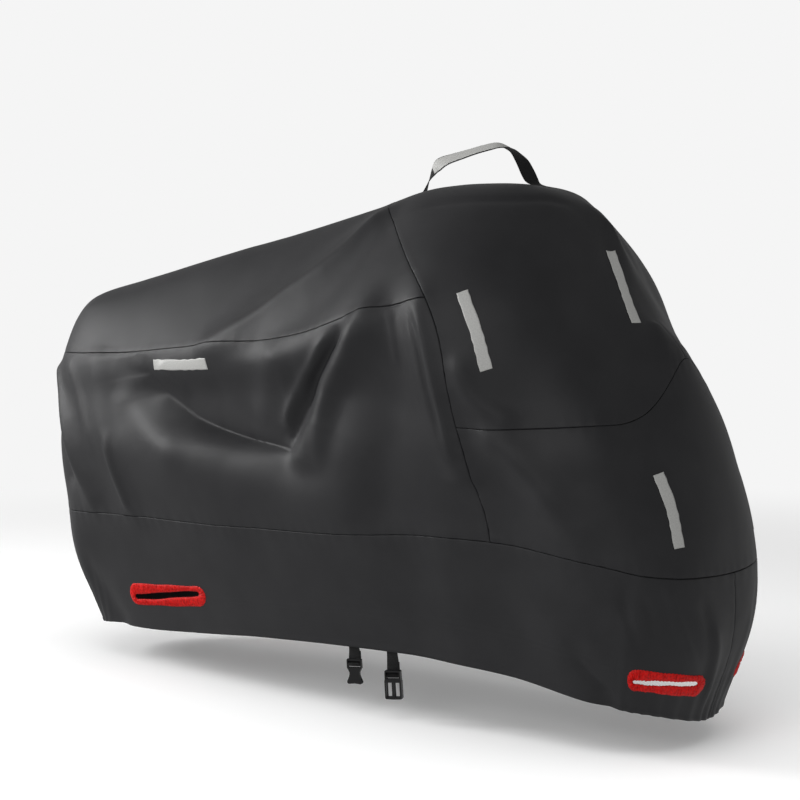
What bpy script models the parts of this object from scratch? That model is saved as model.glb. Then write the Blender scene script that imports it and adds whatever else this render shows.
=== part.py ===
"""Fitted motorcycle cover, empty, in the shape it takes over the machine it hides.

Metres, +X ahead, +Y to the machine's left, +Z up. The origin is on the underside of the
cloth at the highest part of the top, where the machine's top holds the cover up.
"""

import math

import bmesh
import bpy
import numpy as np
from mathutils import Matrix, Vector
from mathutils.bvhtree import BVHTree

# ---- Driving sizes ----------------------------------------------------------------
TOP_HEIGHT = 1.208          # the origin above the ground that the machine stands on
CLOTH = 0.002               # thickness of the coated cloth with its seam allowances
SEAM_GAP_S = 0.0016         # half the gap at an upright seam, in sections
SEAM_GAP_V = 0.0012         # half the gap at a level seam, in levels
TAPE_WIDTH = 0.026          # reflective tape
TAPE_THICK = 0.001
PIECE_GAP = 0.0003          # between a piece and what it is sewn to
WEBBING_WIDTH = 0.030
WEBBING_THICK = 0.0018
HANDLE_WIDTH = 0.036
HANDLE_TAPE_WIDTH = 0.031

# ---- The form ---------------------------------------------------------------------
# One row for each upright section, from the middle of the tail round the right side to
# the middle of the nose. A section leaves the ridge at x = pivot and runs out level along
# its heading: 0 is back, 90 is out to the side, 180 is ahead. It passes the ridge, the
# shoulder, the upper seam, the waist, the belly, the skirt seam and the hem, each at its
# distance out from the pivot and its height above the ground.
SECTION_COLUMNS = (
    "pivot", "heading", "ridge_h",
    "shoulder_r", "shoulder_h", "upper_r", "upper_h", "waist_r", "waist_h",
    "belly_r", "belly_h", "skirt_r", "skirt_h", "hem_r", "hem_h",
)
SECTIONS = np.array((
    (-1.05, 0, 1.000, .163, .946, .230, .811, .243, .700, .250, .560, .219, .398, .110, .085),
    (-1.04, 40, 1.003, .160, .950, .230, .812, .243, .700, .250, .560, .222, .392, .125, .085),
    (-1.01, 75, 1.010, .152, .957, .238, .813, .252, .700, .258, .560, .230, .396, .158, .095),
    (-0.87, 90, 1.039, .140, .993, .255, .820, .275, .710, .285, .570, .252, .405, .185, .103),
    (-0.67, 90, 1.078, .130, 1.04, .276, .836, .305, .718, .330, .585, .280, .408, .212, .121),
    (-0.45, 90, 1.121, .130, 1.08, .302, .853, .325, .725, .350, .590, .305, .412, .240, .143),
    (-0.23, 90, 1.169, .140, 1.124, .336, .881, .345, .730, .355, .590, .320, .420, .250, .155),
    (-0.05, 90, 1.206, .160, 1.170, .361, .924, .350, .735, .350, .590, .320, .430, .250, .158),
    (0.12, 90, 1.213, .165, 1.176, .370, .955, .350, .700, .330, .580, .300, .440, .245, .155),
    (0.23, 105, 1.200, .120, 1.160, .320, .955, .335, .692, .320, .570, .290, .423, .238, .142),
    (0.31, 125, 1.165, .085, 1.092, .180, .955, .335, .695, .345, .570, .335, .403, .265, .114),
    (0.35, 140, 1.137, .060, 1.054, .126, .945, .260, .727, .306, .590, .342, .393, .272, .096),
    (0.37, 180, 1.119, .042, 1.054, .102, .930, .204, .800, .274, .620, .305, .395, .245, .060),
))
NOSE = len(SECTIONS) - 1    # section number at the middle of the nose; the tail's is 0
RIDGE, SHOULDER, UPPER, WAIST, BELLY, SKIRT, HEM = range(7)

# The section at which the upright seam behind the fairing crosses each level.
UPRIGHT_SEAM = (6.30, 6.60, 8.10, 8.44, 8.50, 8.64, 8.80)

# The hollow that hangs between the seat and the tail, under the upper seam. It is deepest
# along a valley, which lies at this level in each section.
HOLLOW_COLUMNS = ("section", "valley", "depth")
HOLLOW = np.array((
    (3.28, 2.00, 0.000),
    (3.42, 2.45, 0.022),
    (3.64, 2.92, 0.046),
    (4.18, 3.29, 0.070),
    (4.60, 3.49, 0.082),
    (5.05, 3.70, 0.085),
    (5.66, 3.90, 0.070),
    (5.82, 3.29, 0.056),
    (6.08, 2.82, 0.042),
    (6.52, 2.29, 0.020),
    (6.85, 2.02, 0.000),
))
SHELF = 0.24                # how far past its valley the hollow has filled out again

# Soft ridges (+) and troughs (-) through three points in sections and levels. "left" is
# the share of each that shows on the left side.
FOLD_COLUMNS = ("s0", "v0", "s1", "v1", "s2", "v2", "width", "height", "left")
FOLDS = {
    "top_ridge": (6.42, 1.10, 5.72, 1.50, 4.53, 2.01, .040, .014, .7),
    "under_top_ridge": (6.75, 1.25, 6.10, 1.72, 5.30, 1.92, .056, -.008, .7),
    "flank_ridge": (7.16, 2.08, 6.36, 2.85, 5.92, 3.95, .042, .020, .6),
    "flank_trough": (6.62, 2.20, 6.08, 2.82, 5.76, 3.60, .032, -.006, .0),
    "behind_fairing": (8.00, 2.10, 8.20, 2.95, 8.42, 3.95, .034, .012, .5),
    "side_trough": (7.60, 2.25, 7.45, 3.30, 7.20, 4.60, .075, -.016, .8),
    "tail_ridge": (1.05, 2.45, 1.70, 3.50, 2.20, 4.80, .034, .010, .3),
    "tail_trough": (0.60, 2.60, 1.20, 3.40, 1.60, 4.50, .034, -.016, .3),
    "tail_corner_ridge": (2.40, 2.15, 2.60, 3.60, 3.00, 4.90, .040, .008, .0),
    "fairing_ridge": (8.55, 2.60, 9.05, 3.30, 9.66, 4.60, .050, .015, .8),
    "fairing_trough": (10.0, 2.10, 10.2, 2.90, 10.4, 3.70, .090, -.010, .8),
    "nose_pleat": (11.23, 5.02, 11.41, 5.28, 11.58, 5.44, .040, .010, .0),
    "nose_swell": (10.9, 5.42, 11.6, 5.45, 12.0, 5.45, .075, .018, 1.0),
    "tail_swell": (0.00, 5.42, 0.60, 5.42, 1.50, 5.46, .080, .024, 1.0),
    "wheel_crease": (10.55, 5.22, 10.78, 5.34, 10.92, 5.45, .036, -.008, .4),
    "skirt_swell": (8.20, 5.20, 9.20, 5.35, 10.0, 5.70, .080, .012, .6),
    "skirt_dip": (5.20, 5.15, 6.40, 5.45, 7.40, 5.75, .090, -.010, .8),
    "hem_tuck_front": (9.80, 5.72, 10.05, 5.85, 10.30, 5.97, .030, -.008, .5),
    "hem_tuck_rear": (1.80, 5.60, 2.10, 5.80, 2.30, 5.98, .034, -.010, .5),
}
METRES_PER_SECTION = 0.17   # a typical spacing, to give the folds' widths in metres
METRES_PER_LEVEL = 0.19

# ---- Trim -------------------------------------------------------------------------
# Reflective tapes: from one point to another in sections and levels, how far the back is
# lifted to clear the facets under it, and whether the left side has the same one.
TAPE_COLUMNS = ("s0", "v0", "s1", "v1", "lift", "both_sides")
TAPES = {
    "reflective_tape_fairing": (8.50, 1.95, 8.80, 2.52, 0.0017, True),
    "reflective_tape_front": (11.00, 0.98, 11.31, 2.22, 0.0009, False),
    "reflective_tape_nose": (11.10, 3.97, 11.24, 4.75, 0.0011, True),
    "reflective_tape_tail": (3.52, 2.27, 4.50, 2.31, 0.0020, True),
}
LOCK_HOLE_COLUMNS = ("section", "level", "rise", "length", "height")
LOCK_HOLES = {
    "rear_right": (3.45, 5.695, 0.05, 0.310, 0.058),
    "rear_left": (3.45, 5.695, 0.05, 0.310, 0.058),
    "front_right": (11.17, 5.745, 0.02, 0.195, 0.052),
    "front_left": (10.80, 5.740, 0.02, 0.195, 0.052),
}
BINDING_BAND = 0.019        # width of the gathered binding round the slit
BINDING_THICK = 0.007
CUTTER_DEPTH = 0.030

# The handle runs along the middle of the top: how far ahead, how high above the cloth, and
# how its outer face is turned to the right, in degrees.
HANDLE_COLUMNS = ("x", "above", "roll")
HANDLE = np.array((
    (-0.176, 0.0019, 0),
    (-0.158, 0.0019, 0),
    (-0.143, 0.0050, 3),
    (-0.131, 0.0150, 20),
    (-0.117, 0.0400, 37),
    (-0.104, 0.0570, 56),
    (-0.090, 0.0680, 70),
    (-0.059, 0.0740, 50),
    (-0.013, 0.0790, 42),
    (0.027, 0.0850, 38),
    (0.066, 0.0890, 32),
    (0.097, 0.0845, 4),
    (0.112, 0.0790, 2),
    (0.125, 0.0700, 4),
    (0.143, 0.0500, 15),
    (0.157, 0.0270, 20),
    (0.166, 0.0130, 16),
    (0.177, 0.0050, 3),
    (0.192, 0.0019, 0),
    (0.210, 0.0019, 0),
))
HANDLE_STEPS = 57           # three to a row, so that the tape's facets lie on the webbing's
HANDLE_TAPE_ROWS = (5, 11)  # the rows where the tape on its outer face starts and ends

# Where the buckle straps hang from the hem: the drop from the hem to the buckle's top, and
# how far the strap is twisted and leans, in degrees.
STRAP_COLUMNS = ("section", "drop", "twist", "lean")
STRAPS = {
    "male": (6.42, 0.029, 14, 3),
    "female": (7.04, 0.043, 16, 4),
}
# Each strap's path from its sewn end, as out from and up from the buckle's top: behind the
# top bar, over the front of the tension bar, and round it to a short free end.
STRAP_END = 0.026           # how far the sewn end reaches up inside the hem
STRAP_LOOP_COLUMNS = ("out", "up")
STRAP_LOOP = np.array((
    (-0.0026, 0.012),
    (-0.0026, 0.004),
    (-0.0026, -0.002),
    (-0.0024, -0.0050),
    (0.0006, -0.0080),
    (0.0031, -0.0105),
    (0.0031, -0.0135),
    (0.0000, -0.0161),
    (-0.0032, -0.0135),
    (-0.0048, -0.0090),
    (-0.0054, -0.0030),
    (-0.0054, 0.006),
    (-0.0058, 0.018),
))
STRAP_LIFT = 0.0009         # of the sewn end from the smooth form of the hem's inside
STRAP_LEAVES = 0.002        # above the hem, where the strap leaves the cloth
STRAP_EASE = (0.6, 0.75)    # then at this share of the loop's first "out" and of the drop
SLOPE_LEVELS = 0.11         # how far up the cloth's slope is read, in levels
STRAP_STEPS = 34
BAR_DEPTH = 0.0034          # the tension bar, which the webbing goes round
BAR_LEVEL = -0.0120
BAR_TALL = 0.0032
BAR_REACH = 0.001
SLOT_WIDTH = 0.0316
SLOT_TOP, SLOT_BOTTOM = -0.0042, -0.0190
# Half of each outline, from the middle of the top round to the middle of the bottom.
MALE_OUTLINE = (
    (0, 0), (.0168, 0), (.0184, -.0016), (.0186, -.020), (.0150, -.0265), (.0126, -.0315),
    (.0128, -.037), (.0154, -.0445), (.0192, -.0520), (.0186, -.0562), (.0150, -.0580), (0, -.0565),
)
FEMALE_OUTLINE = (
    (0, 0), (.0172, 0), (.0188, -.0016), (.0192, -.021), (.0202, -.0245), (.0204, -.0620),
    (.0186, -.0650), (0, -.0658),
)
BUCKLES = {"male": (0.0080, MALE_OUTLINE), "female": (0.0126, FEMALE_OUTLINE)}  # depths
SOCKET_WIDTH, SOCKET_TOP, SOCKET_DEPTH, SOCKET_BELOW = 0.0345, -0.0255, 0.0086, 0.08
WINDOW_WIDTH, WINDOW_TOP, WINDOW_BOTTOM = 0.0135, -0.0275, -0.0600
WINDOW_MIDDLE = 0.0093      # from the buckle's middle to a window's
BUCKLE_EDGE = 0.0007        # rounding of the buckles' edges
TOP_BAR_BACK = 0.0008       # the back of the top bar, which the strap comes down behind


# ---- Curves and the draped surface ------------------------------------------------
def blend_four(a, b, c, d, part):
    """The smooth curve from b to c that heads for a and d beyond them."""
    return b + part / 2 * (c - a + part * (2 * a - 5 * b + 4 * c - d + part * (3 * (b - c) + d - a)))


def along_rows(rows, at):
    """A smooth curve through the rows, read at row numbers with a fraction."""
    first = np.clip(np.floor(at).astype(int), 0, len(rows) - 2)
    ends = np.concatenate((2 * rows[:1] - rows[1:2], rows, 2 * rows[-1:] - rows[-2:-1]))
    part = (at - first).reshape((-1,) + (1,) * (rows.ndim - 1))
    return blend_four(ends[first], ends[first + 1], ends[first + 2], ends[first + 3], part)


def along_columns(rows, at):
    """The same down each row, at one column number for each row."""
    first = np.clip(np.floor(at).astype(int), 0, rows.shape[1] - 2)
    ends = np.concatenate((rows, 2 * rows[:, -1:] - rows[:, -2:-1]), axis=1)
    ends = np.concatenate((2 * rows[:, :1] - rows[:, 1:2], ends), axis=1)
    row = np.arange(len(rows))
    return blend_four(*(ends[row, first + k] for k in range(4)), at - first)


def to_right_side(s, v):
    """Section and level as on the right side, and which side the point is on (-1 right).

    Past the nose or the tail, and at levels below zero, a point is on the left side.
    """
    side = np.where((s >= 0) & (s <= NOSE), -1.0, 1.0) * np.where(v < 0, -1.0, 1.0)
    s = np.where(s > NOSE, 2 * NOSE - s, np.abs(s))
    return s, np.abs(v), side


def form(s, v):
    """Points of the smooth form, before its folds."""
    s, v, side = to_right_side(s, v)
    before, after = SECTIONS[1:2].copy(), SECTIONS[-2:-1].copy()
    before[0, 1] *= -1
    after[0, 1] = 360 - after[0, 1]
    slope = np.gradient(SECTIONS[:, 2], SECTIONS[:, 0])
    section = along_rows(np.concatenate((before, SECTIONS, after)), s + 1)
    slope = np.interp(s, np.arange(NOSE + 1), slope)
    heading = np.radians(section[:, 1])
    out, height = section[:, 3::2], section[:, 4::2]
    # Across the ridge the form goes on level with it, so the ridge stays smooth.
    across = height[:, :1] + 2 * (slope * out[:, 0] * np.cos(heading))[:, None]
    out = np.concatenate((-out[:, :1], 0 * out[:, :1], out), axis=1)
    height = np.concatenate((across, section[:, 2:3], height), axis=1)
    out, height = along_columns(out, v + 1), along_columns(height, v + 1)
    x = section[:, 0] - out * np.cos(heading)
    return np.stack((x, side * out * np.sin(heading), height - TOP_HEIGHT), axis=1)


def outward(s, v):
    """Unit normals of the form, pointing out."""
    step = 0.02
    s = np.clip(s, step, 2 * NOSE - step)
    s = np.where(np.abs(s - NOSE) < step, NOSE - step, s)
    across = form(s + step / 2, v) - form(s - step / 2, v)
    down = form(s, v + step / 2) - form(s, v - step / 2)
    normal = np.cross(down, across)
    return normal / np.linalg.norm(normal, axis=1, keepdims=True)


def metric(s, v):
    """Sections and levels as rough metres, to measure the folds by."""
    return np.stack((s * METRES_PER_SECTION, v * METRES_PER_LEVEL), axis=-1)


def nearest_on_run(at, start, end):
    """The share of the run from start to end that is nearest each point, and how near."""
    run = end - start
    part = np.clip((at - start) @ run / (run @ run), 0, 1)
    return part, np.linalg.norm(at - start - part[:, None] * run, axis=1)


def hollow_depth(s, v):
    """The hollow deepens evenly down to its valley and fills out again past it."""
    at, knots = metric(s, v), metric(HOLLOW[:, 0], HOLLOW[:, 1])
    near, deep = np.full(len(s), np.inf), np.zeros(len(s))
    for k in range(len(knots) - 1):
        part, gap = nearest_on_run(at, knots[k], knots[k + 1])
        deep = np.where(gap < near, HOLLOW[k, 2] + part * (HOLLOW[k + 1, 2] - HOLLOW[k, 2]), deep)
        near = np.minimum(near, gap)
    valley = np.interp(s, HOLLOW[:, 0], HOLLOW[:, 1])
    depth = np.interp(s, HOLLOW[:, 0], HOLLOW[:, 2])
    share = np.clip((v - UPPER) / np.maximum(valley - UPPER, 1e-3), 0, 1) ** 1.2
    inside = (v < valley) & (valley > UPPER)
    past = deep * np.clip(1 - near / SHELF, 0, 1) ** 2
    return np.where(v <= UPPER, 0, -np.where(inside, depth * share, past))


def fold_height(s, v):
    """How far the folds stand out from the form."""
    s, v, side = to_right_side(s, v)
    at = metric(s, v)
    height = hollow_depth(s, v) * np.where(side < 0, 1.0, 0.7)
    for s0, v0, s1, v1, s2, v2, width, tall, left in FOLDS.values():
        knots = metric(np.array((s0, s1, s2)), np.array((v0, v1, v2)))
        near = np.minimum(
            nearest_on_run(at, knots[0], knots[1])[1], nearest_on_run(at, knots[1], knots[2])[1]
        )
        height += tall * np.exp(-((near / width) ** 2)) * np.where(side < 0, 1.0, left)
    return height


def draped(s, v, lift=0.0):
    """Points of the draped cloth's outer face, or lifted from it."""
    s, v = np.atleast_1d(s).astype(float), np.atleast_1d(v).astype(float)
    return form(s, v) + outward(s, v) * (fold_height(s, v) + lift)[:, None]


def upright_seam(v):
    rows = np.array(UPRIGHT_SEAM)[:, None]
    return along_rows(rows, np.abs(v))[:, 0]


# ---- Making objects ---------------------------------------------------------------
def clear_scene():
    for item in list(bpy.data.objects):
        bpy.data.objects.remove(item, do_unlink=True)


def collection(name):
    made = bpy.data.collections.new(name)
    bpy.context.scene.collection.children.link(made)
    return made


def material(name, colour, roughness, metallic=0.0):
    made = bpy.data.materials.new(name)
    made.use_nodes = True
    shader = made.node_tree.nodes["Principled BSDF"]
    shader.inputs["Base Color"].default_value = (*colour, 1)
    shader.inputs["Roughness"].default_value = roughness
    shader.inputs["Metallic"].default_value = metallic
    return made


def to_object(mesh, name, finish, home):
    """A bmesh made an object, with its faces pointing out."""
    bmesh.ops.recalc_face_normals(mesh, faces=mesh.faces)
    if mesh.calc_volume(signed=True) < 0:
        bmesh.ops.reverse_faces(mesh, faces=mesh.faces)
    data = bpy.data.meshes.new(name)
    mesh.to_mesh(data)
    mesh.free()
    data.shade_smooth()
    data.set_sharp_from_angle(angle=math.radians(50))
    if finish:
        data.materials.append(finish)
    made = bpy.data.objects.new(name, data)
    home.objects.link(made)
    return made


def flat_grid(columns, rows):
    """A grid whose vertices lie at x and y from 0 to 1."""
    mesh = bmesh.new()
    bmesh.ops.create_grid(mesh, x_segments=columns, y_segments=rows, size=0.5)
    bmesh.ops.translate(mesh, verts=mesh.verts, vec=(0.5, 0.5, 0))
    return mesh


def slab(columns, rows, place, thick=CLOTH):
    """A flat slab bent to shape.

    place(a, b) gives the place of each point of the flat grid, and the way to the slab's
    other face. Edges that meet are joined before the slab gets its thickness.
    """
    mesh = flat_grid(columns, rows)
    a = np.array([vert.co.x for vert in mesh.verts])
    b = np.array([vert.co.y for vert in mesh.verts])
    way = mesh.verts.layers.float_vector.new("way")
    for vert, point, onward in zip(mesh.verts, *place(a, b)):
        vert.co = point
        vert[way] = onward * thick
    bmesh.ops.remove_doubles(mesh, verts=mesh.verts, dist=1e-5)
    other = bmesh.ops.extrude_face_region(mesh, geom=mesh.faces[:], use_keep_orig=True)
    for vert in other["geom"]:
        if isinstance(vert, bmesh.types.BMVert):
            vert.co += vert[way]
    return mesh


def closed_tube(around, along, where, cap=False):
    """A grid rolled up: b runs round the section, and a along it or round a ring."""
    mesh = flat_grid(along, around)
    points = where(np.array([tuple(vert.co) for vert in mesh.verts]))
    for vert, point in zip(mesh.verts, points):
        vert.co = point
    bmesh.ops.remove_doubles(mesh, verts=mesh.verts, dist=1e-6)
    if cap:
        bmesh.ops.holes_fill(mesh, edges=mesh.edges, sides=0)
    return mesh


# ---- Panels -----------------------------------------------------------------------
REAR_COLUMNS, FRONT_COLUMNS = 24, 16     # along each side, behind and ahead of the seam
TOP_ROWS_PER_LEVEL, SIDE_ROWS_PER_LEVEL = 3, 4
SKIRT_ROWS = 4


def spread(part, low, high, gap):
    return low + gap + part * (high - low - 2 * gap)


def rear_top(a, b):
    v = spread(b, -UPPER, UPPER, SEAM_GAP_V)
    return a * (upright_seam(v) - SEAM_GAP_S), v


def rear_side(a, b):
    v = spread(b, UPPER, SKIRT, SEAM_GAP_V)
    return SEAM_GAP_S + a * (upright_seam(v) - 2 * SEAM_GAP_S), v


FRONT_UPPER_ROWS = 2 * SIDE_ROWS_PER_LEVEL + 2 * UPPER * TOP_ROWS_PER_LEVEL


def front_upper(a, b):
    """Its rows meet those of the rear top above the upper seam, and of the sides below it."""
    side = SIDE_ROWS_PER_LEVEL / FRONT_UPPER_ROWS
    top, low = UPPER - SEAM_GAP_V, WAIST - SEAM_GAP_V
    v = np.interp(b, (0, side, 1 - side, 1), (-low, -top, top, low))
    start = upright_seam(v) + SEAM_GAP_S
    return start + a * (NOSE - start), v


def front_lower(a, b):
    v = spread(b, WAIST, SKIRT, SEAM_GAP_V)
    start = upright_seam(v) + SEAM_GAP_S
    return NOSE + (2 * a - 1) * (NOSE - start), v


def skirt(a, b):
    """Its columns meet those of the panels above."""
    seam = upright_seam(np.array([SKIRT]))[0]
    share = REAR_COLUMNS / (REAR_COLUMNS + FRONT_COLUMNS)
    s = np.where(a < share, a / share * seam, seam + (a - share) / (1 - share) * (NOSE - seam))
    s = SEAM_GAP_S + s * (NOSE - 2 * SEAM_GAP_S) / NOSE
    return s, SKIRT + SEAM_GAP_V + b * (HEM - SKIRT - SEAM_GAP_V)


def on_the_left(where):
    def mirrored(a, b):
        s, v = where(a, b)
        return 2 * NOSE - s, v
    return mirrored


def on_cloth(where):
    """A slab's outer face laid on the draped surface."""
    def place(a, b):
        s, v = where(a, b)
        return draped(s, v), -outward(s, v)
    return place


def make_panels(cloth, home):
    rows = SIDE_ROWS_PER_LEVEL
    panels = {
        "rear_top_panel": (REAR_COLUMNS, 2 * UPPER * TOP_ROWS_PER_LEVEL, rear_top),
        "rear_side_panel_right": (REAR_COLUMNS, (SKIRT - UPPER) * rows, rear_side),
        "rear_side_panel_left": (REAR_COLUMNS, (SKIRT - UPPER) * rows, on_the_left(rear_side)),
        "front_upper_panel": (FRONT_COLUMNS, FRONT_UPPER_ROWS, front_upper),
        "front_lower_panel": (2 * FRONT_COLUMNS, (SKIRT - WAIST) * rows, front_lower),
        "skirt_right": (REAR_COLUMNS + FRONT_COLUMNS, SKIRT_ROWS, skirt),
        "skirt_left": (REAR_COLUMNS + FRONT_COLUMNS, SKIRT_ROWS, on_the_left(skirt)),
    }
    return {
        name: to_object(slab(columns, rows, on_cloth(where)), name, cloth, home)
        for name, (columns, rows, where) in panels.items()
    }


# ---- Reflective tapes -------------------------------------------------------------
TAPE_STEPS = 11
REACH = 0.05                # from where rays are cast back onto the cloth


def tree_of(item):
    mesh = bmesh.new()
    mesh.from_mesh(item.data)
    tree = BVHTree.FromBMesh(mesh)
    mesh.free()
    return tree


def reflective_tape(ends, panel, left):
    """A strip laid on the facets of its panel, from one end to the other."""
    tree = tree_of(panel)
    s0, v0, s1, v1, tape_lift = ends

    def place(a, b):
        s, v = s0 + a * (s1 - s0), v0 + a * (v1 - v0)
        ahead = draped(s + 0.05 * (s1 - s0), v + 0.05 * (v1 - v0)) - draped(s, v)
        normal = outward(s, v)
        across = np.cross(normal, ahead)
        across /= np.linalg.norm(across, axis=1, keepdims=True)
        over = draped(s, v) + across * ((b - 0.5) * TAPE_WIDTH)[:, None] + normal * REACH
        mirror = (1, -1, 1) if left else (1, 1, 1)
        over, normal = over * mirror, normal * mirror
        hits = [tree.ray_cast(Vector(p), Vector(-n))[0] for p, n in zip(over, normal)]
        return np.array(hits) + normal * tape_lift, normal

    return slab(TAPE_STEPS, 2, place, TAPE_THICK)


def make_tapes(panels, tape, home):
    panel_of = {
        "reflective_tape_fairing": ("front_upper_panel", "front_upper_panel"),
        "reflective_tape_front": ("front_upper_panel",),
        "reflective_tape_nose": ("front_lower_panel", "front_lower_panel"),
        "reflective_tape_tail": ("rear_side_panel_right", "rear_side_panel_left"),
    }
    for name, (*ends, both_sides) in TAPES.items():
        for side, panel in zip(("_right", "_left") if both_sides else ("",), panel_of[name]):
            mesh = reflective_tape(ends, panels[panel], side == "_left")
            to_object(mesh, name + side, tape, home)


# ---- Lock holes -------------------------------------------------------------------
BINDING_SIDES = 6
QUARTER_STEPS = 6
BINDING_STEPS = 4 * QUARTER_STEPS


def stadium(part, half_length, radius):
    """Points round a slot with round ends, and the way out at each, for parts from 0 to 1."""
    quarter = np.floor(part * 4).astype(int) % 4
    share = part * 4 % 1
    far = np.where(quarter >= 2, -1.0, 1.0)[:, None]
    straight = quarter[:, None] % 2 == 0
    turn = np.pi / 2 - np.pi * share
    bend = np.stack((np.cos(turn), np.sin(turn)), axis=1)
    way = far * np.where(straight, (0.0, 1.0), bend)
    run = (half_length - radius) * np.where(straight[:, 0], 2 * share - 1, 1.0)
    return way * radius + far * run[:, None] * (1, 0), way


def on_skirt(flat, hole, lift, left):
    """A flat layout, in metres along and up, laid on the skirt round a lock hole."""
    s, v, rise = hole[:3]
    step = 0.05
    along = np.linalg.norm(np.diff(form(np.array((s - step, s + step)), np.array((v, v))), axis=0))
    up = np.linalg.norm(np.diff(form(np.array((s, s)), np.array((v - step, v + step))), axis=0))
    s_at = s + flat[:, 0] * 2 * step / along
    v_at = v - (flat[:, 1] + rise * flat[:, 0]) * 2 * step / up
    return draped(2 * NOSE - s_at if left else s_at, v_at, lift)


def lock_hole_binding(hole, left):
    """A rounded ring that fills the cut edge of the skirt round the slit."""
    def where(grid):
        band = BINDING_BAND / 2
        points, way = stadium(grid[:, 0], hole[3] / 2 - band, hole[4] / 2 - band)
        turn = grid[:, 1] * 2 * np.pi
        flat = points + way * (np.cos(turn) * band)[:, None]
        return on_skirt(flat, hole, (np.sin(turn) * BINDING_THICK - CLOTH) / 2, left)
    return closed_tube(BINDING_SIDES, BINDING_STEPS, where)


def lock_hole_cutter(hole, left):
    """Cuts the skirt to the binding's outline."""
    def place(a, b):
        size = (hole[3] / 2 + 2 * PIECE_GAP, hole[4] / 2 + 2 * PIECE_GAP)
        points, _ = stadium((a / 2 - 0.125) % 1, *size)
        flat = points * np.stack((np.ones(len(b)), 1 - 2 * b), axis=1)
        outer = on_skirt(flat, hole, CUTTER_DEPTH / 2, left)
        return outer, on_skirt(flat, hole, -CUTTER_DEPTH / 2, left) - outer
    return slab(2 * QUARTER_STEPS, 1, place, 1)


def make_lock_holes(panels, red, home, cutters):
    for name, hole in LOCK_HOLES.items():
        side = name.split("_")[1]
        left = side == "left"
        to_object(lock_hole_binding(hole, left), f"lock_hole_binding_{name}", red, home)
        cutter = to_object(lock_hole_cutter(hole, left), f"cut_{name}", None, cutters)
        cutter.hide_render = True
        cutter.display_type = "WIRE"
        slot = panels[f"skirt_{side}"].modifiers.new(f"lock_hole_{name}", "BOOLEAN")
        slot.operation = "DIFFERENCE"
        slot.object = cutter


# ---- Webbing ----------------------------------------------------------------------
WEBBING_COLUMNS = 2


def ribbon(path, level, roll, width, thick, steps, offset=0.0, first=0, last=None):
    """Webbing along a path, as wide as level says where roll is 0, from row to row.

    Its outer face is offset from the path along its own normal.
    """
    last = len(path) - 1 if last is None else last
    level = np.array(level, float)

    def place(a, b):
        at = first + a * (last - first)
        spot, near = along_rows(path, at), 0.05
        ahead = along_rows(path, np.minimum(at + near, len(path) - 1))
        ahead = ahead - along_rows(path, np.maximum(at - near, 0))
        ahead /= np.linalg.norm(ahead, axis=1, keepdims=True)
        rise = np.cross(ahead, level)
        rise /= np.linalg.norm(rise, axis=1, keepdims=True)
        turn = np.radians(along_rows(roll, at))[:, None]
        wide = level * np.cos(turn) + rise * np.sin(turn)
        normal = np.cross(ahead, wide)
        return spot + wide * ((b - 0.5) * width)[:, None] + normal * offset, -normal

    return slab(steps, WEBBING_COLUMNS, place, thick)


def top_height(x):
    """The cloth's height along the middle of the top."""
    s = np.linspace(0.5, NOSE, 200)
    ridge = draped(s, np.zeros(len(s)))
    return np.interp(x, ridge[:, 0], ridge[:, 2])


def make_handle(webbing, tape, home):
    x, above, roll = HANDLE.T
    path = np.stack((x, 0 * x, top_height(x) + above), axis=1)
    half = WEBBING_THICK / 2
    strap = ribbon(path, (0, 1, 0), roll, HANDLE_WIDTH, WEBBING_THICK, HANDLE_STEPS, half)
    to_object(strap, "handle", webbing, home)
    first, last = HANDLE_TAPE_ROWS
    steps = HANDLE_STEPS // (len(HANDLE) - 1) * (last - first)
    offset = half + 2 * PIECE_GAP + TAPE_THICK
    face = ribbon(path, (0, 1, 0), roll, HANDLE_TAPE_WIDTH, TAPE_THICK, steps, offset, first, last)
    to_object(face, "handle_tape", tape, home)


# ---- Buckles and their straps -----------------------------------------------------
def box(low, high):
    mesh = bmesh.new()
    bmesh.ops.create_cube(mesh, size=1)
    low, high = Vector(low), Vector(high)
    bmesh.ops.scale(mesh, verts=mesh.verts, vec=high - low)
    bmesh.ops.translate(mesh, verts=mesh.verts, vec=(low + high) / 2)
    return mesh


def plate(half_outline, depth):
    """A flat outline, the same on both sides, with its middle plane at y = 0."""
    ring = list(half_outline) + [(-x, z) for x, z in reversed(half_outline[1:-1])]
    mesh = bmesh.new()
    front = mesh.faces.new([mesh.verts.new((x, -depth / 2, z)) for x, z in ring])
    back = bmesh.ops.extrude_face_region(mesh, geom=[front], use_keep_orig=True)
    moved = [vert for vert in back["geom"] if isinstance(vert, bmesh.types.BMVert)]
    bmesh.ops.translate(mesh, verts=moved, vec=(0, depth, 0))
    rims = [edge for edge in mesh.edges if abs(edge.verts[0].co.y - edge.verts[1].co.y) < depth / 2]
    bmesh.ops.bevel(
        mesh, geom=rims, offset=BUCKLE_EDGE, offset_type="OFFSET", segments=1,
        profile=0.5, affect="EDGES", material=-1, clamp_overlap=True,
    )
    return mesh


def add_boolean(item, operation, mesh, name, cutters):
    """Cuts a shape from the item, or joins it on."""
    other = to_object(mesh, f"{item.name}_{name}", None, cutters)
    other.hide_render = True
    other.display_type = "WIRE"
    change = item.modifiers.new(name, "BOOLEAN")
    change.operation = operation
    change.object = other


def hang(mesh, place):
    bmesh.ops.transform(mesh, matrix=place, verts=mesh.verts)
    return mesh


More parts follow.
